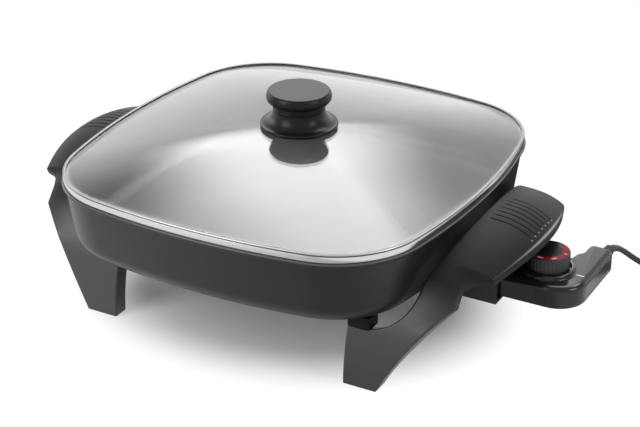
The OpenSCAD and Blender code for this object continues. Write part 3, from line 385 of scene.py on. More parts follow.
# %% The element
t = np.linspace(0, 2 * pi, 20, endpoint=False)
SHEATH_R = 4
element = piece("element_sheath", swept(element_route(138), SHEATH_R * np.stack([np.cos(t), np.sin(t)], 1)),
                "base", ["heating_element"], sharp=60)

# %% [markdown]
# ## The side frames
# One moulding does three jobs: its ends are feet, its sides are legs, and its top is the handle. Seen
# from the side it is an arch of three arcs. The arch gives the line that each slice of the moulding
# stands on; the slice's inner and outer edges come from the arch's place and height. The handle's
# top bulges: it falls away towards its outer edge as the cube of the way across.

# %% The arch
FOOT_Y, LEG_R, KNEE_R, LEDGE_Z = 110.5, 138.0, 12.0, 43.3
WING_TOP, WING_R, WING_Y = 106.0, 165.0, 69.5
leg_c, wing_c = np.array([FOOT_Y - LEG_R, 0]), np.array([0, WING_TOP - WING_R])
gap = np.linalg.norm(wing_c - leg_c)
r1, r2 = LEG_R - KNEE_R, WING_R - KNEE_R
reach_in = (gap**2 + r1**2 - r2**2) / (2 * gap)
unit = (wing_c - leg_c) / gap
knee_c = leg_c + unit * reach_in + np.sqrt(r1**2 - reach_in**2) * np.array([-unit[1], unit[0]])
knee_0 = np.arctan2(knee_c[1] - leg_c[1], knee_c[0] - leg_c[0])
knee_1 = np.arctan2(knee_c[1] - wing_c[1], knee_c[0] - wing_c[0])


def arch(a):
    """Point (y, z) of the arch where its outward face looks along angle a: centre + radius (cos a, sin a),
    with the centre and radius of the leg, the knee or the handle."""
    ring = np.stack([np.cos(a), np.sin(a)], -1)
    leg, knee, wing = leg_c + LEG_R * ring, knee_c + KNEE_R * ring, wing_c + WING_R * ring
    return np.where((a < knee_0)[..., None], leg, np.where((a < knee_1)[..., None], knee, wing))


print("knee at", knee_c.round(1), "between", np.degrees([knee_0, knee_1]).round(1))

# %% [markdown]
# The inner edge starts at the foot, steps out over the ledge that the pan's spacers stand on, sweeps
# round under the pan in a quarter circle and ends along the handle. The outer edge flares up the leg,
# stops at a shoulder, and cuts back round a small arc to the handle's corner.

# %% Edges of the moulding
VALLEY_R, HANDLE_X, NOTCH_R = 38.5, 200.6, 17


def inner_edge(y, z):
    """The handle's edge is a shallow parabola in y. Below it stand the foot's face, the ledge and a
    quarter circle that opens upwards from the ledge: 105.5 + sqrt(radius^2 - (height below its top)^2)."""
    valley = 105.5 + np.sqrt(np.clip(VALLEY_R**2 - np.clip(LEDGE_Z + VALLEY_R - z, 0, 38.4) ** 2, 0, None))
    handle = 157 - y**2 / 580
    low = 96 + (valley - 96) * ease(z, LEDGE_Z - 0.15, LEDGE_Z + 0.15)
    return np.where((z < LEDGE_Z + VALLEY_R) & (y > 82), low, handle)


def outer_edge(y, z):
    """A parabola in y along the handle, an arc that cuts in from its corner, and a leg that flares with
    the square of its height up to the shoulder."""
    handle = HANDLE_X - y**2 / 372
    corner = HANDLE_X - WING_Y**2 / 372
    notch = corner - np.sqrt(np.clip(NOTCH_R**2 - (WING_Y + NOTCH_R - y) ** 2, 0, None))
    leg = np.minimum(corner - NOTCH_R, 122.5 + 0.47 * z + 0.0031 * z**2)
    in_notch = (y <= WING_Y + NOTCH_R) & (z > LEDGE_Z)
    return np.where(y <= WING_Y, handle, np.where(in_notch, notch, leg))


def crown(y):
    """How far the handle's top falls to its outer edge: 14 mm in the middle, as a parabola in y."""
    return 14 * np.clip(1 - (y / 101) ** 2, 0, None)


print("handle, in its middle, from x =", inner_edge(0.0, WING_TOP), "to", outer_edge(0.0, WING_TOP))

# %% [markdown]
# Seven fine grooves cross the handle where fingers curl over it. They are cut into the surface
# itself, as a narrow dip that fades out at both ends of each groove.
#
# The moulding is cut into slices along the arch, close together where a groove, the ledge or the knee
# needs them and far apart elsewhere. The slices are placed by the angle that the arch looks along.

# %% One half of the moulding's stations
grooves = np.arange(0, 4) * 6.0  # the front half's four; the back half mirrors three of them
fine = (grooves[:, None] + np.array([-1.0, -0.7, -0.45, -0.2, 0, 0.2, 0.45, 0.7, 1.0])).ravel()
fine = fine[fine >= 0]
wing_y = np.unique(np.concatenate([fine, np.linspace(20, knee_c[0] + KNEE_R * np.cos(knee_1), 50)]))
leg_z = np.concatenate([[0, 0.25, 0.6, 1.2], np.linspace(3, LEDGE_Z - 1, 16),
                        LEDGE_Z + np.linspace(-0.2, 0.2, 5), LEDGE_Z + np.linspace(0.5, 3, 6),
                        np.linspace(LEDGE_Z + 4, LEG_R * np.sin(knee_0) - 0.3, 26)])
stations = np.unique(np.concatenate([np.arcsin(leg_z / LEG_R), np.linspace(knee_0, knee_1, 9),
                                     np.arccos(np.clip(wing_y / WING_R, -1, 1))]))
print(len(stations), "slices in one half")

# %% [markdown]
# A slice is a shell: a smooth top, a lip along each edge and a thin web between them underneath. Down
# the leg the web thickens until the slice is solid. The foot's last millimetre is drawn in a little,
# which takes the knife edge off it.

# %% Slices
def slices(a, way):
    """Closed cross-sections at angles a. Each is walked from the inner edge over the top to the outer edge
    and back underneath; q is the depth below the arch, and way is -1 for the front half, 1 for the back.
    A point is (x, y - q cos a, z - q sin a)."""
    p = arch(a)
    y, z = p[:, 0], p[:, 1]
    x0, x1 = inner_edge(y, z)[:, None], outer_edge(y, z)[:, None]
    solid = np.clip((knee_c[1] - 12 - z) / 22, 0, 1)[:, None]
    lip, plate = 6 + 6.5 * solid, 3.2 + 8.3 * solid
    r = 1.5 + 0.3 * (1 - solid)
    t = np.radians(np.linspace(0, 90, 6))
    foot = 1 - ease(z, 0, 1.2)[:, None]
    top = np.linspace(0, 1, 26)[1:-1]
    span = x1 - x0 - 2 * r
    x = np.concatenate([x0 + r * (1 - np.cos(t)), x0 + r + span * top, x1 - r * (1 - np.sin(t)),
                        x1 - np.array([0, 0.5, 2.4, 2.9, 3.2, 4.4]),
                        x0 + np.array([4.4, 3.2, 2.9, 2.4, 0.5, 0])], 1)
    under_lip, web_edge = [lip - 0.5, lip, lip, lip - 0.5], plate + 1.0 * (1 - solid) + 0.3
    q = np.concatenate([r * (1 - np.sin(t)), np.zeros_like(span * top), r * (1 - np.cos(t)),
                        *under_lip, web_edge, plate, plate, web_edge, *under_lip], 1)
    v = np.clip((x - x0) / (x1 - x0), 0, 1)
    q = q + crown(y)[:, None] * v**3
    dip = np.exp(-((np.abs(y)[:, None, None] - grooves) / 0.42) ** 2).max(-1)
    span_x = ease(x, 163.2, 165.2) * (1 - ease(x, 194.2, 195.8))
    on_top = np.arange(x.shape[1]) < 2 * len(t) + len(top)
    q = q + 0.75 * dip * span_x * on_top
    x = x + 0.35 * foot * (np.where(v < 0.5, 1, -1)) * (np.abs(v - 0.5) > 0.49)
    y_out, z_out = y[:, None] - q * np.cos(a)[:, None], z[:, None] - q * np.sin(a)[:, None]
    return np.stack([x, way * y_out, z_out], -1)


front, rear = slices(stations, -1), slices(stations[:-1], 1)[::-1]
moulding = stack(np.concatenate([front, rear]))
print("moulding", moulding[0].min(0).round(1), moulding[0].max(0).round(1))

# %% [markdown]
# The right frame is the slices from the front foot round to the back one. The left frame is its mirror:
# only x changes sign, and the faces are turned outwards again by the test in piece.

# %% Both frames
right_frame = piece("right_side_frame", moulding, "base", ["right_frame"], sharp=32)
left_frame = piece("left_side_frame", (moulding[0] * (-1, 1, 1), moulding[1]), "base", ["left_frame"],
                   sharp=32)

# %% [markdown]
# ## The lid
# A folded steel band holds a domed sheet of glass. The band's face is upright for about 4 mm, and a rolled
# lip finishes its top; both edges fold in under and over the glass. A fine dark bead fills the seam between
# the face and the lip: painted shade, a dark piece put where the groove is in shade.

# %% Band
band = [(3.4, 110.75), (1.7, 110.75), (1.32, 110.9), (1.2, 111.3), (1.2, 115.0), (1.32, 115.28),
        (1.6, 115.35), (2.05, 115.4), (2.05, 116.0), (1.6, 116.05), (1.3, 116.15), (1.18, 116.4),
        (1.3, 116.75), (1.65, 116.95), (2.2, 117.0), (3.2, 116.9), (3.4, 116.7), (3.3, 116.3),
        (2.5, 116.2), (2.35, 115.2), (2.35, 112.0), (3.4, 111.9)]
lid_band = piece("lid_band", stack([outline(i, z) for i, z in band], True), "lid", ["lid_rim"], sharp=50)
# painted shade: a dark bead put in the seam, where the groove is in shade
bead = [(2.03, 115.42), (1.5, 115.45), (1.42, 115.72), (1.5, 115.98), (2.03, 116.0)]
seam_shade_bead = piece("seam_shade_bead", stack([outline(i, z) for i, z in bead], True), "lid", sharp=60)

# %% [markdown]
# The glass is one shallow dome from the knob's hole out to the band, where it turns flat. Its height
# falls from the crown as the square of the way out, which is what a sheet sagged over a form takes.

# %% Glass
CROWN_Z, GLASS_TOP, GLASS_T = 135.6, 116.0, 3.6
edge = outline(2.6)[:, :2]
share = np.concatenate([np.linspace(0.03, 0.96, 48), [0.972]])
height = CROWN_Z - (CROWN_Z - GLASS_TOP) * np.clip(share / 0.985, 0, 1) ** 2
upper = [*[np.column_stack([edge * k, np.full(len(edge), h)]) for k, h in zip(share, height)],
         outline(3.9, GLASS_TOP), outline(3.1, GLASS_TOP - 0.06), outline(2.7, GLASS_TOP - 0.5)]
lower = [*[ring - (0, 0, GLASS_T) for ring in upper[:-2]],
         outline(3.1, GLASS_TOP - GLASS_T + 0.06), outline(2.7, GLASS_TOP - GLASS_T + 0.5)]
glass = piece("lid_pane", stack([*upper, *lower[::-1]], True), "lid", ["lid_glass"], sharp=60)

# %% [markdown]
# ## The knob
# Two turned mouldings. The lower one is a bell: a short upright rim follows the glass, and above a
# small step a hollow quarter ellipse sweeps in to the neck. The upper one swells from the neck to a
# rounded lip round a flat top, which catches the light from above.

# %% Knob base
t = np.radians(np.linspace(0, 90, 26))
flare = np.stack([28.7 - 9.3 * np.sin(t), 2.3 + 10.95 * (1 - np.cos(t))], 1)
foot = [(12, -0.1), (20, -0.3), (27.4, -0.62), (28.2, -0.45), (28.8, 0.1), (29.05, 0.8), (29.1, 1.5),
        (29.0, 1.9), (28.85, 2.1)]
base_profile = np.vstack([foot, flare, [(12, 13.27)]]) + (0, CROWN_Z)
knob_base = piece("knob_foot", turned(base_profile, looped=True), "lid", ["knob_base"], sharp=30)

# %% Knob grip
t = np.radians(np.linspace(0, 90, 16))
under = np.stack([19.6 + 4.8 * np.sin(t), 22.7 - 4.5 * np.cos(t)], 1)
over = np.stack([21.9 + 2.5 * np.cos(t), 22.7 + 4.8 * np.sin(t)], 1)[1:-1]
socket = [(4.1, 0.1), (11.6, 0.1), (11.7, 13.3), (19.2, 13.35), (19.55, 13.7)]
flat_top = [(21.9, 27.45), (21.2, 27.38), (20.4, 27.35), (8, 27.35), (0.4, 27.35)]
grip_profile = np.vstack([socket, under, over, flat_top]) + (0, CROWN_Z)
knob_grip = piece("knob_handle", turned(grip_profile, n=144), "lid", ["knob_grip"], sharp=30)

# %% [markdown]
# ## The temperature control
# A flat housing in two shells. Its outline is a neck, a round part under the dial and an arm for the
# lead. The outline is walked once as arcs and straight lines; the shells are that outline drawn in
# along its own normals, which rounds the top edge by as much as is wanted.

# %% Outline of the housing
DIAL = np.array([198.5, 8.0])


def arc(cx, cy, r, a0, a1, n):
    """n points centre + r (cos a, sin a) from angle a0 to a1, in degrees."""
    t = np.radians(np.linspace(a0, a1, n))
    return np.stack([cx + r * np.cos(t), cy + r * np.sin(t)], 1)


walk = np.vstack([
    arc(148, -16.5, 2, 180, 270, 5), arc(208.5, 3.5, 22, 270, 360, 26), arc(225.5, 54.5, 5, 0, 90, 8),
    arc(216.5, 55, 4.5, 90, 180, 8), arc(203, 48.5, 9, 0, -52, 8), arc(*DIAL, 26.5, 72, 155, 20),
    arc(168.5, 22.3, 3.8, -45, -90, 5), arc(148, 16.5, 2, 90, 180, 5)])
pieces = np.linalg.norm(np.diff(np.vstack([walk, walk[:1]]), axis=0), axis=1)
far = np.concatenate([[0], np.cumsum(pieces)])
even = np.linspace(0, far[-1], 360, endpoint=False)
plan = np.stack([np.interp(even, far, np.append(walk[:, i], walk[0, i])) for i in (0, 1)], 1)
ahead = np.roll(plan, -2, 0) - np.roll(plan, 2, 0)
inward = np.stack([-ahead[:, 1], ahead[:, 0]], 1) / np.linalg.norm(ahead, axis=1, keepdims=True)
print("the housing is", round(far[-1], 1), "mm round")


def layer(d, z):
    """The outline drawn in by d along its normals, at height z."""
    return np.column_stack([plan + d * inward, np.full(len(plan), float(z))])


# %% [markdown]
# The lower shell's bottom edge is rounded by a small quarter circle. The upper shell's edge is softer, a
# quarter ellipse. A raised collar, turned on the dial's own axis, stands round the well that the dial
# sits in.

# %% Shells
LOW_R, EDGE_W, EDGE_H = 1.6, 4.4, 4.0
t = np.radians(np.linspace(0, 90, 9))
low_edge = zip(LOW_R - LOW_R * np.sin(t), 45 + LOW_R - LOW_R * np.cos(t))
top_edge = zip(EDGE_W - EDGE_W * np.cos(t), 58.0 + EDGE_H * np.sin(t))
lower_shell = [layer(d, z) for d, z in [(3, 45), *low_edge, (0, 50), (0, 57.82), (3, 57.82)]]
upper_shell = [layer(d, z) for d, z in [(3, 57.84), (0, 57.84), *top_edge]]
t = np.radians(np.linspace(0, 90, 8))
collar = turned([(17.2, 61), (17.2, 64.4), (17.5, 64.9), (18.0, 65), (18.8, 65),
                 *zip(18.8 + 1.4 * np.sin(t), 63.6 + 1.4 * np.cos(t)),
                 (20.3, 62.6), (20.9, 61.9), (21.6, 61.6)], DIAL, 120, True)
well = turned([(2.0, 61.4), (2.0, 62.6), (17.3, 62.6), (17.3, 61.4)], DIAL, 96, True)
lower = piece("control_base", stack(lower_shell), "control", ["control_lower_shell"], sharp=40)
upper = piece("control_cover", joined(stack(upper_shell), collar, well), "control",
              ["control_upper_shell"], sharp=40)

# %% [markdown]
# Five ribs on the front of the housing give a finger something to push against.

# %% Finger ribs
ribs = [soft_box(x - 0.6, x + 0.6, -19.1, -17.6, 46.2, 57.0, 0.5) for x in 200.2 + 2.3 * np.arange(5)]
finger_ribs = piece("control_ribs", joined(*ribs), "control", sharp=40)

# %% [markdown]
# A short printed line on the cover shows where the dial stands. It could be a painted patch, but as a
# thin block of its own it keeps a crisp edge from near by.

# %% Pointer
pointer = piece("dial_pointer", soft_box(220.6, 226.6, 7.4, 8.6, 61.9, 62.12, 0.3), "control", sharp=40)

# %% [markdown]
# ## The dial
# A short drum with a fluted side. The flutes are a ripple on the radius, so they are part of the one
# surface. A printed plate sits in its top: a coloured ring with light numbers round a dark centre.

# %% Dial
DIAL_Z, DIAL_TOP = 63.6, 76.2
RIPPLES, RIPPLE = 36, 0.22
a = np.arange(432) * 2 * pi / 432
ripple = RIPPLE * (0.5 + 0.5 * np.cos(RIPPLES * a)) ** 3
drum_rings = [(12, DIAL_Z, 0), (15.6, DIAL_Z, 0), (16, DIAL_Z + 0.4, 0), (16, DIAL_Z + 2.6, 0),
              (16, DIAL_Z + 3.2, 1), (15.95, DIAL_TOP - 1.6, 1), (15.9, DIAL_TOP - 1.1, 0.4),
              (15.75, DIAL_TOP - 0.5, 0), (15.45, DIAL_TOP - 0.1, 0), (15.2, DIAL_TOP, 0),
              (15.0, DIAL_TOP - 0.05, 0), (14.95, DIAL_TOP - 0.5, 0), (3, DIAL_TOP - 0.5, 0),
              (3, DIAL_Z, 0)]
drum = [np.stack([DIAL[0] + (r - s * ripple) * np.cos(a), DIAL[1] + (r - s * ripple) * np.sin(a),
                  z + 0 * a], 1) for r, z, s in drum_rings]
dial = piece("dial_drum", stack(drum, True), "dial", ["dial_knob"], sharp=40)
face = [(3.1, DIAL_TOP - 0.48), (14.8, DIAL_TOP - 0.48), (14.9, DIAL_TOP + 0.02), (15.3, DIAL_TOP + 0.03),
        (15.35, DIAL_TOP + 0.1), (15.1, DIAL_TOP + 0.16), (0.2, DIAL_TOP + 0.16)]
plate = piece("dial_face", turned(face, DIAL, 128), "dial", ["dial_plate"], sharp=40)

# %% [markdown]
# The numbers are plain generic figures for the temperature. Each is cut from letter outlines as a thin
# solid, turned to its place on the ring, and all of them make one piece.

# %% Numbers on the dial
FIGURE_SIZE, FIGURE_OUT, FIGURE_T = 2.5, 13.1, 0.05


def number(text, angle):
    """Figures whose feet point at the dial's middle: moved out along it, then turned by angle - 90 degrees:
    (x sin + out cos, out sin - x cos)."""
    outline_of = bpy.data.curves.new("figures", "FONT")
    outline_of.body, outline_of.size, outline_of.extrude = text, FIGURE_SIZE, FIGURE_T
    outline_of.align_x, outline_of.align_y, outline_of.offset = "CENTER", "CENTER", 0.04
    mesh = bpy.data.meshes.new_from_object(bpy.data.objects.new("figures", outline_of))
    b = bmesh.new()
    b.from_mesh(mesh)
    bmesh.ops.remove_doubles(b, verts=b.verts, dist=1e-4)
    b.to_mesh(mesh)
    b.free()
    p = np.empty(len(mesh.vertices) * 3)
    mesh.vertices.foreach_get("co", p)
    p = p.reshape(-1, 3)
    c, s = np.cos(radians(angle)), np.sin(radians(angle))
    up = p[:, 1] + FIGURE_OUT
    x, y = p[:, 0] * s + up * c, up * s - p[:, 0] * c
    return (np.stack([DIAL[0] + x, DIAL[1] + y, p[:, 2] + DIAL_TOP + 0.2], 1),
            [list(f.vertices) for f in mesh.polygons])


labels = {"0": 0, "200": -50, "250": -94, "300": -138, "350": -182, "400": -226}
figures = piece("dial_numbers", joined(*[number(text, angle) for text, angle in labels.items()]), "dial",
                sharp=30)

# %% [markdown]
# ## Small parts
# The other CAD pieces have the right shape already but knife-sharp edges. A real moulding or casting
# has a small radius on every edge, and that line of light is what makes it look solid. A copy of the
# mesh is welded, its flat triangles are merged into whole faces, and a bevel rounds the edges.

# %% Rounded copies
EDGE_TURN = radians(32)  # an edge that turns by more than this gets rounded


def rounded(node, body, width):
    """A welded copy of a CAD node with its edges rounded by width, in millimetres; it replaces the node."""
    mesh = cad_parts[node].data.copy()
    b = bmesh.new()
    b.from_mesh(mesh)
    bmesh.ops.remove_doubles(b, verts=b.verts, dist=2e-6)
    bmesh.ops.dissolve_limit(b, angle_limit=radians(1), verts=b.verts, edges=b.edges)
    b.to_mesh(mesh)
    b.free()
    mesh.polygons.foreach_set("use_smooth", [True] * len(mesh.polygons))
    mesh.set_sharp_from_angle(angle=EDGE_TURN)
    obj = bpy.data.objects.new(node + "_rounded", mesh)
    bpy.context.scene.collection.objects.link(obj)
    soft = obj.modifiers.new("soft edges", "BEVEL")
    soft.width, soft.segments, soft.limit_method, soft.angle_limit = width * 0.001, 2, "ANGLE", EDGE_TURN
    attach(obj, body)
    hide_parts(node)
    return obj


small = {node: rounded(node, body, width) for node, body, width in [
    ("socket_guard", "base", 0.7), ("guard_screws", "base", 0.15),
    ("frame_screws", "base", 0.2), ("knob_screw", "lid", 0.2), ("knob_washer", "lid", 0.3),
    ("control_screws", "control", 0.12), ("plug_blades", "control", 0.25), ("terminal_pins", "base", 0.2),
    ("element_seals", "base", 0.3)]}
print(len(small), "rounded copies:", *small)

# %% [markdown]
# The spacers between the frames' ledges and the pan are black blocks with rounded corners, a little
# wider than the boss that each one meets.

# %% Spacers
feet = [soft_box(*sorted((sx * 96, sx * 114)), *sorted((sy * 90, sy * 105)), 43.3, 53.0, 2.5)
        for sx in (-1, 1) for sy in (-1, 1)]
spacers = piece("pan_spacers", joined(*feet), "base", ["frame_spacers"], sharp=40)

# %% [markdown]
# ## Strain relief and plug
# The relief is a soft boot that tapers along the lead and is slit into ribs, so that it bends without
# kinking. The plug's body is a rounded block that narrows to a boot of the same kind.

# %% Rounded rectangles along a route
def block_along(path, halves, power):
    """Rings of |s/w|^p + |u/h|^p = 1, a rectangle with full corners, of half sizes w and h along a path."""
    t = np.linspace(0, 2 * pi, 48, endpoint=False)
    c, s = np.cos(t), np.sin(t)
    base = np.stack([np.sign(c) * np.abs(c) ** (2 / power), np.sign(s) * np.abs(s) ** (2 / power)], 1)
    return swept(path, base[None] * np.asarray(halves, float)[:, None, :])


# %% Strain relief
y = [50.0, 52, 54, 54.1, 57.2, 57.3, 59.5]
w = [(3.5, 2.7), (3.6, 2.8), (3.6, 2.8), (5.0, 3.3), (5.0, 3.3), (4.1, 3.3), (4.2, 3.4)]
for i in range(5):
    y0, k = 60.0 + 2.6 * i, 1 - 0.045 * i
    y += [y0, y0 + 0.25, y0 + 1.5, y0 + 1.75, y0 + 2.0, y0 + 2.4]
    w += [(3.9 * k, 3.0 * k), (4.25 * k, 3.4 * k), (4.2 * k, 3.35 * k), (3.9 * k, 3.0 * k),
          (3.55 * k, 2.7 * k), (3.55 * k, 2.7 * k)]
y, w = y + [72.9], w + [(3.4, 2.35)]
boot = block_along([(lead_x, v, lead_z) for v in y], w, 3.6)
relief = piece("lead_boot", boot, "control", ["strain_relief"], sharp=50)

# %% Plug
PLUG = np.array([284.0, 179.0, 10.95])
x, w = [0.0], [(3.8, 2.7)]
for i in range(5):
    k = 4.3 + 0.32 * i
    x += [3.0 * i + 0.3, 3.0 * i + 0.6, 3.0 * i + 2.0, 3.0 * i + 2.3, 3.0 * i + 2.9]
    w += [(k, 3.2 + 0.22 * i), (k + 0.3, 3.4 + 0.22 * i), (k + 0.3, 3.4 + 0.22 * i),
          (k - 0.1, 3.0 + 0.22 * i), (k - 0.2, 2.95 + 0.22 * i)]
x += [15.4, 16.2, 17.6, 20, 24, 30, 36, 40.6, 41.6, 41.95]
w += [(6.4, 4.2), (8.2, 4.9), (10.2, 5.7), (11.4, 6.2), (11.9, 6.45), (12, 6.5), (12, 6.5), (11.9, 6.4),
      (11.4, 5.9), (10.4, 5)]
plug = piece("plug_moulding", block_along([PLUG + (v, 0, 0) for v in x], w, 4.5), "control", ["plug_body"],
             sharp=50)

# %% [markdown]
# ## Writing materials as sums
# A material is a small program. Here it is written like one: a Wire stands for a number or colour that
# varies over the surface, and +, -, * and / on it add the nodes that do that sum.

# %% Wires and finishes
class Wire:
    """One socket that carries a number or a colour. Sums with numbers or other wires add Math nodes."""

    def __init__(self, tree, socket):
        self.tree, self.socket = tree, socket

    def sum(self, operation, *others):
        """A Math node that does the operation to this wire and the others, in that order."""
        return self.tree.add("ShaderNodeMath", {"operation": operation}, dict(enumerate((self, *others))))

    def __add__(self, other): return self.sum("ADD", other)
    def __mul__(self, other): return self.sum("MULTIPLY", other)
    def __sub__(self, other): return self.sum("SUBTRACT", other)
    def __truediv__(self, other): return self.sum("DIVIDE", other)
    def __pow__(self, other): return self.sum("POWER", other)

    def __rsub__(self, other):
        return self.tree.add("ShaderNodeMath", {"operation": "SUBTRACT"}, {0: other, 1: self})

    __radd__, __rmul__ = __add__, __mul__

    def rise(self, lo, hi):
        """0 below lo and 1 above hi; between, with u as the share of the way, u squared times 3 - 2 u."""
        return self.tree.add("ShaderNodeMapRange", {"interpolation_type": "SMOOTHSTEP"},
                             {"Value": self, "From Min": lo, "From Max": hi})

    def along(self, axis):
        """How far this vector reaches along an axis: the sum of its three parts times the axis's."""
        return self.tree.add("ShaderNodeVectorMath", {"operation": "DOT_PRODUCT"},
                             {0: self, 1: tuple(axis)}, "Value")


class Tree:
    """The nodes of a material or of the world."""

    def __init__(self, nodes_of):
        nodes_of.use_nodes = True
        self.nodes, self.links = nodes_of.node_tree.nodes, nodes_of.node_tree.links

    def add(self, kind, settings, sockets, output=0):
        """Adds a node: settings first, then the values or links of its sockets; gives back one output."""
        node = self.nodes.new(kind)
        for key, value in settings.items():
            setattr(node, key, value)
        for key, value in sockets.items():
            if isinstance(value, Wire):
                self.links.new(value.socket, node.inputs[key])
            else:
                node.inputs[key].default_value = value
        return Wire(self, node.outputs[output])

    def rays(self):
        """What kind of ray asks for the light: a wire that is 1 or 0 for each of three kinds."""
        return {kind: self.add("ShaderNodeLightPath", {}, {}, f"Is {kind} Ray")
                for kind in ("Camera", "Glossy", "Transmission")}


class Finish(Tree):
    """A Principled material. A plain value sits in the shader's own socket and holds where no wire comes."""

    def __init__(self, name, color, **constants):
        self.material = bpy.data.materials.new(name)
        super().__init__(self.material)
        self.shader = next(n for n in self.nodes if n.type == "BSDF_PRINCIPLED")
        self.shader.inputs["Base Color"].default_value = (*color, 1)
        for key, value in constants.items():
            self.shader.inputs[key.replace("_", " ").title().replace("Ior", "IOR")].default_value = value
        self.place = self.add("ShaderNodeTexCoord", {}, {}, "Object")

    def noise(self, scale, detail, at=None):
        """Soft noise from 0 to 1, about scale lumps to the metre; each detail adds lumps half as big."""
        return self.add("ShaderNodeTexNoise", {}, {"Vector": at or self.place, "Scale": scale,
                                                   "Detail": detail, "Roughness": 0.55})

    def stretched(self, x, y, z):
        """The place on the object with each direction multiplied by its own number."""
        return self.add("ShaderNodeMapping", {}, {"Vector": self.place, "Scale": (x, y, z)})

    def between(self, mask, a, b):
        """Colour a where the mask is 0 and b where it is 1: (1 - mask) a + mask b."""
        a, b = [(*c, 1) if isinstance(c, tuple) else c for c in (a, b)]
        return self.add("ShaderNodeMix", {"data_type": "RGBA"}, {"Factor": mask, 6: a, 7: b}, 2)

    def feed(self, **wires):
        """Joins each wire to the shader's socket of that name."""
        for key, wire in wires.items():
            self.links.new(wire.socket, self.shader.inputs[key.replace("_", " ").title()])
        return self

    def bump(self, height, strength, distance):
        """Tilts the surface's direction as if it stood out by height times distance, in metres."""
        normal = self.add("ShaderNodeBump", {}, {"Height": height, "Strength": strength,
                                                 "Distance": distance})
        self.links.new(normal.socket, self.shader.inputs["Normal"])
        return self

    def grain(self, scale, smooth, spread):
        """Fine noise carries the roughness from smooth to smooth + spread; gives back the noise."""
        noise = self.noise(scale, 2)
        self.feed(roughness=smooth + noise * spread)
        return noise

    def mottle(self, scale, detail, a, b, smooth, spread):
        """One noise carries the colour from a to b and the roughness from smooth to smooth + spread."""
        noise = self.noise(scale, detail)
        return self.feed(base_color=self.between(noise, a, b), roughness=smooth + noise * spread)


def wear(objects, finish):
    """Gives objects a finish and prints which finish goes on which objects."""
    for obj in objects:
        obj.data.materials.clear()
        obj.data.materials.append(finish.material)
    print(finish.material.name, "on", *[obj.name for obj in objects])


# %% [markdown]
# ## Finishes
# Each finish is its plain colour with the small changes a real surface has: cloudy colour, fine grain
# in the roughness, and a very low bump.

# %% [markdown]
# The non-stick coat is nearly black inside and outside. Faces that look up are painted greyer, a painted
# sheen for the light that they catch from above. The top of the flange carries a painted highlight in a grey
# in between. A painted mask could mark those places; the direction of the face and the height say it without
# one.

# %% Coated aluminium
coat = Finish("nonstick coat", (0.011, 0.011, 0.012), roughness=0.34, specular_ior_level=0.4)
cloud = coat.noise(14, 3)
facing = coat.add("ShaderNodeNewGeometry", {}, {}, "Normal").along((0, 0, 1)).rise(0.5, 0.9)
walls = coat.between(cloud, (0.009, 0.009, 0.010), (0.013, 0.013, 0.014))
# painted highlight: the top of the flange is painted a lighter grey
rim_highlight = coat.place.along((0, 0, 1)).rise(0.1088, 0.1100)
walls = coat.between(rim_highlight, walls, (0.09, 0.09, 0.09))
# painted sheen: faces that look up are painted greyer
painted_sheen = facing * (1 - rim_highlight)
coat.feed(base_color=coat.between(painted_sheen, walls, (0.155, 0.155, 0.158)), roughness=0.31 + cloud * 0.06)
wear([pan], coat)

# %% [markdown]
# The frames come out of a mould whose legs were polished and whose handle tops were left matt for grip. So
# the satin skin is a clear coat whose weight falls to nothing with height, and returns only along the
# handle's outer edge, where hands polish it. The handle tops are also painted darker, a painted shade that
# is lighter towards the rear. The outer edge and the ends of the grooves carry a painted highlight in a
# light grey.

# %% Frame plastic
moulded = Finish("grey moulded frame", (0.030, 0.030, 0.031), roughness=0.5, specular_ior_level=0.15,
                 coat_roughness=0.3)
grain, cloud = moulded.noise(1200, 2), moulded.noise(20, 3)
height = moulded.place.along((0, 0, 1))
away_x = (moulded.place.along((1, 0, 0)) + MIDDLE / 1000).sum("ABSOLUTE")
front_back = moulded.place.along((0, 1, 0))
# painted highlight: a light grey line along the handle's outer edge, where the clear coat also returns
outer = (away_x + front_back ** 2 * 2.688).rise(0.1984, 0.1996)
turned_up = moulded.add("ShaderNodeNewGeometry", {}, {}, "Normal").along((0, 0, 1))
outer = outer * turned_up.rise(0.35, 0.6) * (1 - turned_up.rise(0.8, 0.92))
satin = (1 - height.rise(0.052, 0.086)).sum("MAXIMUM", outer)
# painted shade: the handle tops are painted darker, less so towards the rear
painted_top_shade = height.rise(0.050, 0.085) * (1 - 0.45 * front_back.rise(-0.01, 0.07))
skin = moulded.between(cloud, (0.028, 0.028, 0.029), (0.034, 0.034, 0.035))
skin = moulded.between(painted_top_shade, skin, (0.011, 0.011, 0.0115))
# painted highlights: light grey dots where the grooves meet the outer edge
nearest = front_back.sum("PINGPONG", 0.003)
groove_highlights = (1 - nearest.rise(0.0003, 0.0008)) * (1 - (away_x - 0.1956).sum("ABSOLUTE").rise(0.0003, 0.0008))
groove_highlights = groove_highlights * (1 - front_back.sum("ABSOLUTE").rise(0.0192, 0.0196)) * height.rise(0.088, 0.090)
moulded.feed(base_color=moulded.between((outer * 0.9).sum("MAXIMUM", groove_highlights), skin, (0.26, 0.26, 0.262)),
             roughness=0.44 + grain * 0.10 + cloud * 0.05, coat_weight=satin)
moulded.bump(grain, 0.05, 0.00005)
wear([right_frame, left_frame], moulded)

# %% [markdown]
# The band is rolled steel. The roller leaves fine level lines, so the noise is squeezed in height, and the
# same lines carry the colour, the gloss and a very low bump. Faces that look up are rougher, and they are
# painted a duller grey as painted shade.

# %% Steel band
steel = Finish("band steel", (0.72, 0.72, 0.73), metallic=1.0, roughness=0.2, anisotropic=0.4)
lines = steel.noise(900, 3, at=steel.stretched(1, 1, 9))
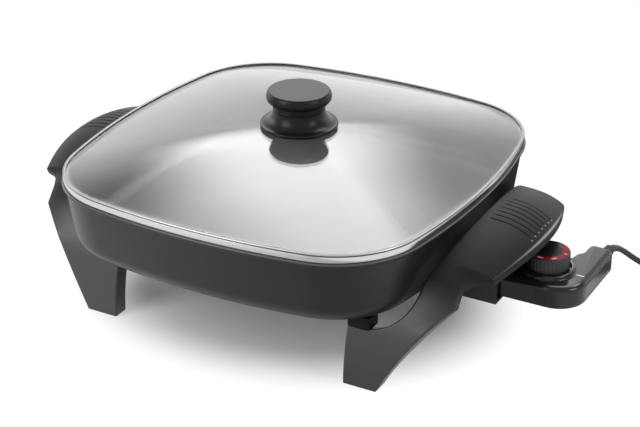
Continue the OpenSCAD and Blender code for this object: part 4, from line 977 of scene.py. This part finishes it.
# painted shade: faces that look up are painted a duller grey
top_face = steel.add("ShaderNodeNewGeometry", {}, {}, "Normal").along((0, 0, 1)).rise(0.5, 0.9)
bright = steel.between(lines, (0.60, 0.60, 0.61), (0.72, 0.72, 0.73))
steel.feed(base_color=steel.between(top_face, bright, (0.26, 0.26, 0.26)),
           roughness=0.14 + lines * 0.16 + top_face * 0.25)
steel.bump(lines, 0.08, 0.00005)
wear([lid_band], steel)

# %% [markdown]
# The bead is painted shade: dark and dull, standing for the shade in the seam. Only its roughness changes,
# with a fine grain.

# %% Seam shade
seam_shade = Finish("seam_shade", (0.07, 0.07, 0.07), roughness=0.5)
seam_shade.grain(900, 0.42, 0.16)
wear([seam_shade_bead], seam_shade)

# %% [markdown]
# Clear glass with a faint cool tint. A sheet that sagged in an oven is never quite even, so a wide,
# very low bump bends what is seen in it and through it.

# %% Lid glass
pane = Finish("lid glass", (0.93, 0.95, 0.95), roughness=0.0, ior=1.5, transmission_weight=1.0)
pane.bump(pane.noise(22, 1), 0.03, 0.0003)
wear([glass], pane)

# %% [markdown]
# The knob is moulded black with a satin gloss. The mould's fine grain is in the roughness and in a bump
# that is too low to see but softens the line of light on the lip.

# %% Knob finish
black = Finish("knob black", (0.010, 0.010, 0.011), roughness=0.28, specular_ior_level=0.2)
black.bump(black.grain(900, 0.25, 0.10), 0.04, 0.00005)
wear([knob_base, knob_grip], black)

# %% [markdown]
# The housing is smoother than the knob and shows the window as a soft patch. Its colour is cloudy, as a
# filled plastic is, and the roughness follows both the clouds and a fine grain.

# %% Control housing
housing = Finish("control housing", (0.012, 0.012, 0.013), roughness=0.22, specular_ior_level=0.4)
grain, cloud = housing.noise(900, 2), housing.noise(30, 3)
housing.feed(base_color=housing.between(cloud, (0.008, 0.008, 0.009), (0.012, 0.012, 0.013)),
             roughness=0.12 + grain * 0.05 + cloud * 0.04)
housing.bump(grain, 0.03, 0.00003)
wear([lower, upper, finger_ribs], housing)

# %% [markdown]
# The dial's drum and the guard round the terminals are a harder black that takes a fine matt grain. The
# spacers stand in the pan's shade. They are duller still, and their black is painted darker as painted
# shade.

# %% Black moulded parts
phenolic = Finish("black phenolic", (0.016, 0.016, 0.017), roughness=0.38, specular_ior_level=0.5)
phenolic.bump(phenolic.grain(1000, 0.32, 0.14), 0.08, 0.00005)
wear([dial, small["socket_guard"]], phenolic)
# painted shade: the spacers' black is painted darker than the other black parts
shade = Finish("spacer black", (0.006, 0.006, 0.006), roughness=0.5, specular_ior_level=0.15)
shade.grain(1000, 0.42, 0.16)
wear([spacers], shade)

# %% [markdown]
# The plate is black with a printed red ring that is left black at the rear. The print could be a sheet
# laid on the plate, but the distance from the dial's middle draws a ring that stays sharp at any size.
# One direction across the plate says where the red stops.

# %% Dial print
ink = Finish("dial print", (0.02, 0.02, 0.02), roughness=0.3, specular_ior_level=0.08)
centre = tuple(metres([*DIAL, 0]))
from_middle = ink.add("ShaderNodeVectorMath", {"operation": "SUBTRACT"}, {0: ink.place, 1: centre})
flat = ink.add("ShaderNodeVectorMath", {"operation": "MULTIPLY"}, {0: from_middle, 1: (1, 1, 0)})
radius = ink.add("ShaderNodeVectorMath", {"operation": "LENGTH"}, {0: flat}, "Value")
rear_part = from_middle.along((-0.5, 0.87, 0)).rise(0.0075, 0.0085)
ring = radius.rise(0.0104, 0.0106) * (1 - rear_part)
mottle = ink.noise(300, 3)
red = ink.between(mottle, (0.20, 0.002, 0.006), (0.26, 0.004, 0.010))
ink.feed(base_color=ink.between(ring, (0.010, 0.010, 0.011), red), roughness=0.26 + mottle * 0.10)
wear([plate], ink)
chalk = Finish("white print", (0.78, 0.78, 0.77), roughness=0.5)
chalk.mottle(1500, 2, (0.70, 0.70, 0.69), (0.84, 0.84, 0.83), 0.42, 0.15)
wear([figures, pointer], chalk)

# %% [markdown]
# The lead, its boot and the plug are one soft black rubber. Its grain is finer and deeper than that of
# the hard plastics.

# %% Rubber of the lead
sheath = Finish("lead sheath", (0.018, 0.018, 0.019), roughness=0.45, specular_ior_level=0.4)
sheath.bump(sheath.grain(1800, 0.40, 0.14), 0.10, 0.0001)
wear([lead, relief, plug], sheath)

# %% [markdown]
# Each of these is one cloudy noise that carries colour and roughness together: smears on the plated
# steel and the brass, heat tint on the element's tube, and the chalky skin of an unglazed ceramic.

# %% Metals and ceramics of the small parts
plated = Finish("bright plate", (0.78, 0.79, 0.81), metallic=1.0, roughness=0.2)
plated.mottle(400, 3, (0.72, 0.73, 0.75), (0.84, 0.85, 0.87), 0.12, 0.2)
heat = Finish("heated sheath", (0.25, 0.23, 0.22), metallic=1.0, roughness=0.45)
heat.mottle(60, 4, (0.20, 0.18, 0.18), (0.36, 0.32, 0.28), 0.35, 0.25)
bisque = Finish("ceramic", (0.78, 0.75, 0.68), roughness=0.7)
bisque.mottle(1500, 3, (0.70, 0.67, 0.60), (0.84, 0.81, 0.75), 0.55, 0.25)
yellow = Finish("plain brass", (0.70, 0.50, 0.20), metallic=1.0, roughness=0.3)
yellow.mottle(500, 3, (0.62, 0.44, 0.17), (0.78, 0.58, 0.26), 0.2, 0.2)
steel_bits = ("guard_screws", "frame_screws", "knob_screw", "control_screws", "terminal_pins")
wear([small[n] for n in steel_bits], plated)
wear([element], heat)
wear([small["element_seals"]], bisque)
wear([small["plug_blades"]], yellow)
wear([small["knob_washer"]], sheath)

# %% [markdown]
# Nine pieces are hidden, or nearly so, inside the knob, the control and the guard. Their CAD meshes are
# good enough there, so they stay and only get a finish.

# %% CAD nodes that stay
hidden = {"knob_insert": yellow, "dial_shaft": plated, "probe_tube": plated, "probe_rod": bisque,
          "thermostat_bracket": plated, "contact_stack": bisque, "contact_blades": yellow,
          "female_contacts": yellow, "lead_wires": bisque}
for node, finish in hidden.items():
    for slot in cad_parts[node].material_slots:
        slot.material = finish.material
print(len(hidden), "CAD meshes wear a finish")

# %% [markdown]
# ## The room
# A white room with one great soft window overhead and behind, a little askew, and a small softbox
# beside it. Lamps alone would leave black all round for steel and glass to mirror. So the light is a
# sum of the direction alone: it is carried to a level ceiling, and there the window is a rectangle
# with soft edges. Gloss and glass see a brighter room than the plain light that falls on the skillet,
# which is what a white backdrop does. The camera sees plain white.

# %% World
WHITE = (1, 1, 1, 1)
room = bpy.data.worlds.new("room")
bpy.context.scene.world = room
sky = Tree(room)
sky.nodes.clear()
way = sky.add("ShaderNodeTexCoord", {}, {}, "Generated")
up = way.along((0, 0, 1))
ceiling = up.sum("MAXIMUM", 0.02)
from_left = way.along((np.cos(azimuth), np.sin(azimuth), 0)) / ceiling
from_here = way.along((-np.sin(azimuth), np.cos(azimuth), 0)) / ceiling
turned_left = from_left + (from_here - 1.6) * 0.15
window = turned_left.rise(-0.52, -0.20) * (1 - turned_left.rise(0.10, 0.48))
window = window * from_here.rise(0.0, 0.5) * (1 - from_here.rise(1.6, 2.6)) * up.rise(0.02, 0.1)
box = 1 - (from_left - 0.60).sum("ABSOLUTE").rise(0.08, 0.2)
box = box * (1 - (from_here - 0.55).sum("ABSOLUTE").rise(0.2, 0.4))
plain = sky.add("ShaderNodeBackground", {}, {"Color": WHITE, "Strength": 0.50 + 4.0 * window})
shine = 0.6 + from_here.rise(0.5, 2.2) * 0.9 + 3.6 * window + 7.0 * box * up.rise(0.02, 0.1)
gloss = sky.add("ShaderNodeBackground", {}, {"Color": WHITE, "Strength": shine})
white = sky.add("ShaderNodeBackground", {}, {"Color": WHITE, "Strength": 1.0})
ray = sky.rays()
mirrored = ray["Glossy"].sum("MAXIMUM", ray["Transmission"])
shown = sky.add("ShaderNodeMixShader", {}, {0: mirrored, 1: plain, 2: gloss})
shown = sky.add("ShaderNodeMixShader", {}, {0: ray["Camera"], 1: shown, 2: white})
end = sky.nodes.new("ShaderNodeOutputWorld")
sky.links.new(shown.socket, end.inputs["Surface"])
print("the world's light has", len(sky.nodes), "nodes")

# %% [markdown]
# The table is a white sheet that fades into the white behind it. It glows to the camera, except in an oval
# patch under the skillet, where the plain sheet takes a real shadow. Gloss also sees a painted shade on it,
# a dark patch that is strongest under the right side, because glossy sides would else mirror a lit table
# where the skillet shades it. Both are soft-edged sums of the place, so their edges never show.

# %% Floor
TABLE_HALF, TABLE_Z = 6, -0.0002
corners = [(x * TABLE_HALF, y * TABLE_HALF, TABLE_Z) for x, y in ((-1, -1), (1, -1), (1, 1), (-1, 1))]
floor_mesh = bpy.data.meshes.new("table")
floor_mesh.from_pydata(corners, [], [(0, 1, 2, 3)])
table = bpy.data.objects.new("table", floor_mesh)
bpy.context.scene.collection.objects.link(table)
table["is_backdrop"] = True
floor = Finish("white table", (0.9, 0.9, 0.9), roughness=0.6, specular_ior_level=0.2)
ray = floor.rays()
seen = ray["Camera"].sum("MAXIMUM", ray["Glossy"]).sum("MAXIMUM", ray["Transmission"])
oval = floor.add("ShaderNodeMapping", {}, {"Vector": floor.place, "Location": (0.022, 0, 0),
                                           "Scale": (0.98, 1.2, 0)})
from_oval = floor.add("ShaderNodeVectorMath", {"operation": "LENGTH"}, {0: oval}, "Value")
glow = floor.add("ShaderNodeEmission", {}, {"Color": WHITE, "Strength": 1.05})
level_x = floor.place.along((1, 0, 0))
# painted shade: a dark patch on the table that only glossy rays see
gloss_shade = level_x.rise(-0.20, 0.14) * (1 - level_x.rise(0.205, 0.255)) * ray["Glossy"]
gloss_shade = gloss_shade * (0.46 + 0.5 * floor.place.along((0, 1, 0)).rise(-0.06, 0.0))
share = (0.02 + 0.98 * from_oval.rise(0.112, 0.195)) * seen
blend = floor.add("ShaderNodeMixShader", {}, {0: share, 1: Wire(floor, floor.shader.outputs[0]), 2: glow})
dark = floor.add("ShaderNodeEmission", {}, {"Color": (0, 0, 0, 1)})
blend = floor.add("ShaderNodeMixShader", {}, {0: gloss_shade, 1: blend, 2: dark})
floor.links.new(blend.socket, floor.nodes["Material Output"].inputs["Surface"])
floor_mesh.materials.append(floor.material)
print("table", 2 * TABLE_HALF, "m wide")

# %% [markdown]
# Three weak lamps fill in what the sky leaves dark: the left side, the right side and the front. They
# are broad, so that they throw no hard shadow, and the camera doesn't see them.

# %% Lamps
def lamp(name, place, target, size, power):
    """A rectangular soft lamp that faces its target."""
    data = bpy.data.lights.new(name, "AREA")
    data.shape, data.size, data.size_y, data.energy = "RECTANGLE", size[0], size[1], power
    obj = bpy.data.objects.new(name, data)
    obj.location = place
    obj.rotation_mode = "QUATERNION"
    obj.rotation_quaternion = (Vector(target) - Vector(place)).to_track_quat("-Z", "Y")
    obj.visible_camera = False
    bpy.context.scene.collection.objects.link(obj)


lamp("left window", (-1.5, 0.1, 0.6), (0, 0, 0.05), (0.7, 0.6), 3)
lamp("right softbox", (1.23, -0.07, 0.68), (0, 0, 0.05), (0.5, 0.6), 4)
lamp("front softbox", (-0.6, -1.08, 0.68), (0, 0, 0.05), (0.7, 0.9), 8)
print(len(bpy.data.lights), "lamps")

# %% [markdown]
# ## Finish
# Colours go to the screen as they are, with no film look over them. The box of the finished skillet is
# noted beside that of the CAD model, which shows how far the true surfaces stand off it.

# %% Close
bpy.context.scene.view_settings.view_transform = "Standard"
seen_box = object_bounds()
moved = zip((*cad_box[0], *cad_box[1]), (*seen_box[0], *seen_box[1]))
print("grown by (mm):", [round((b - a) * 1000, 2) for a, b in moved])
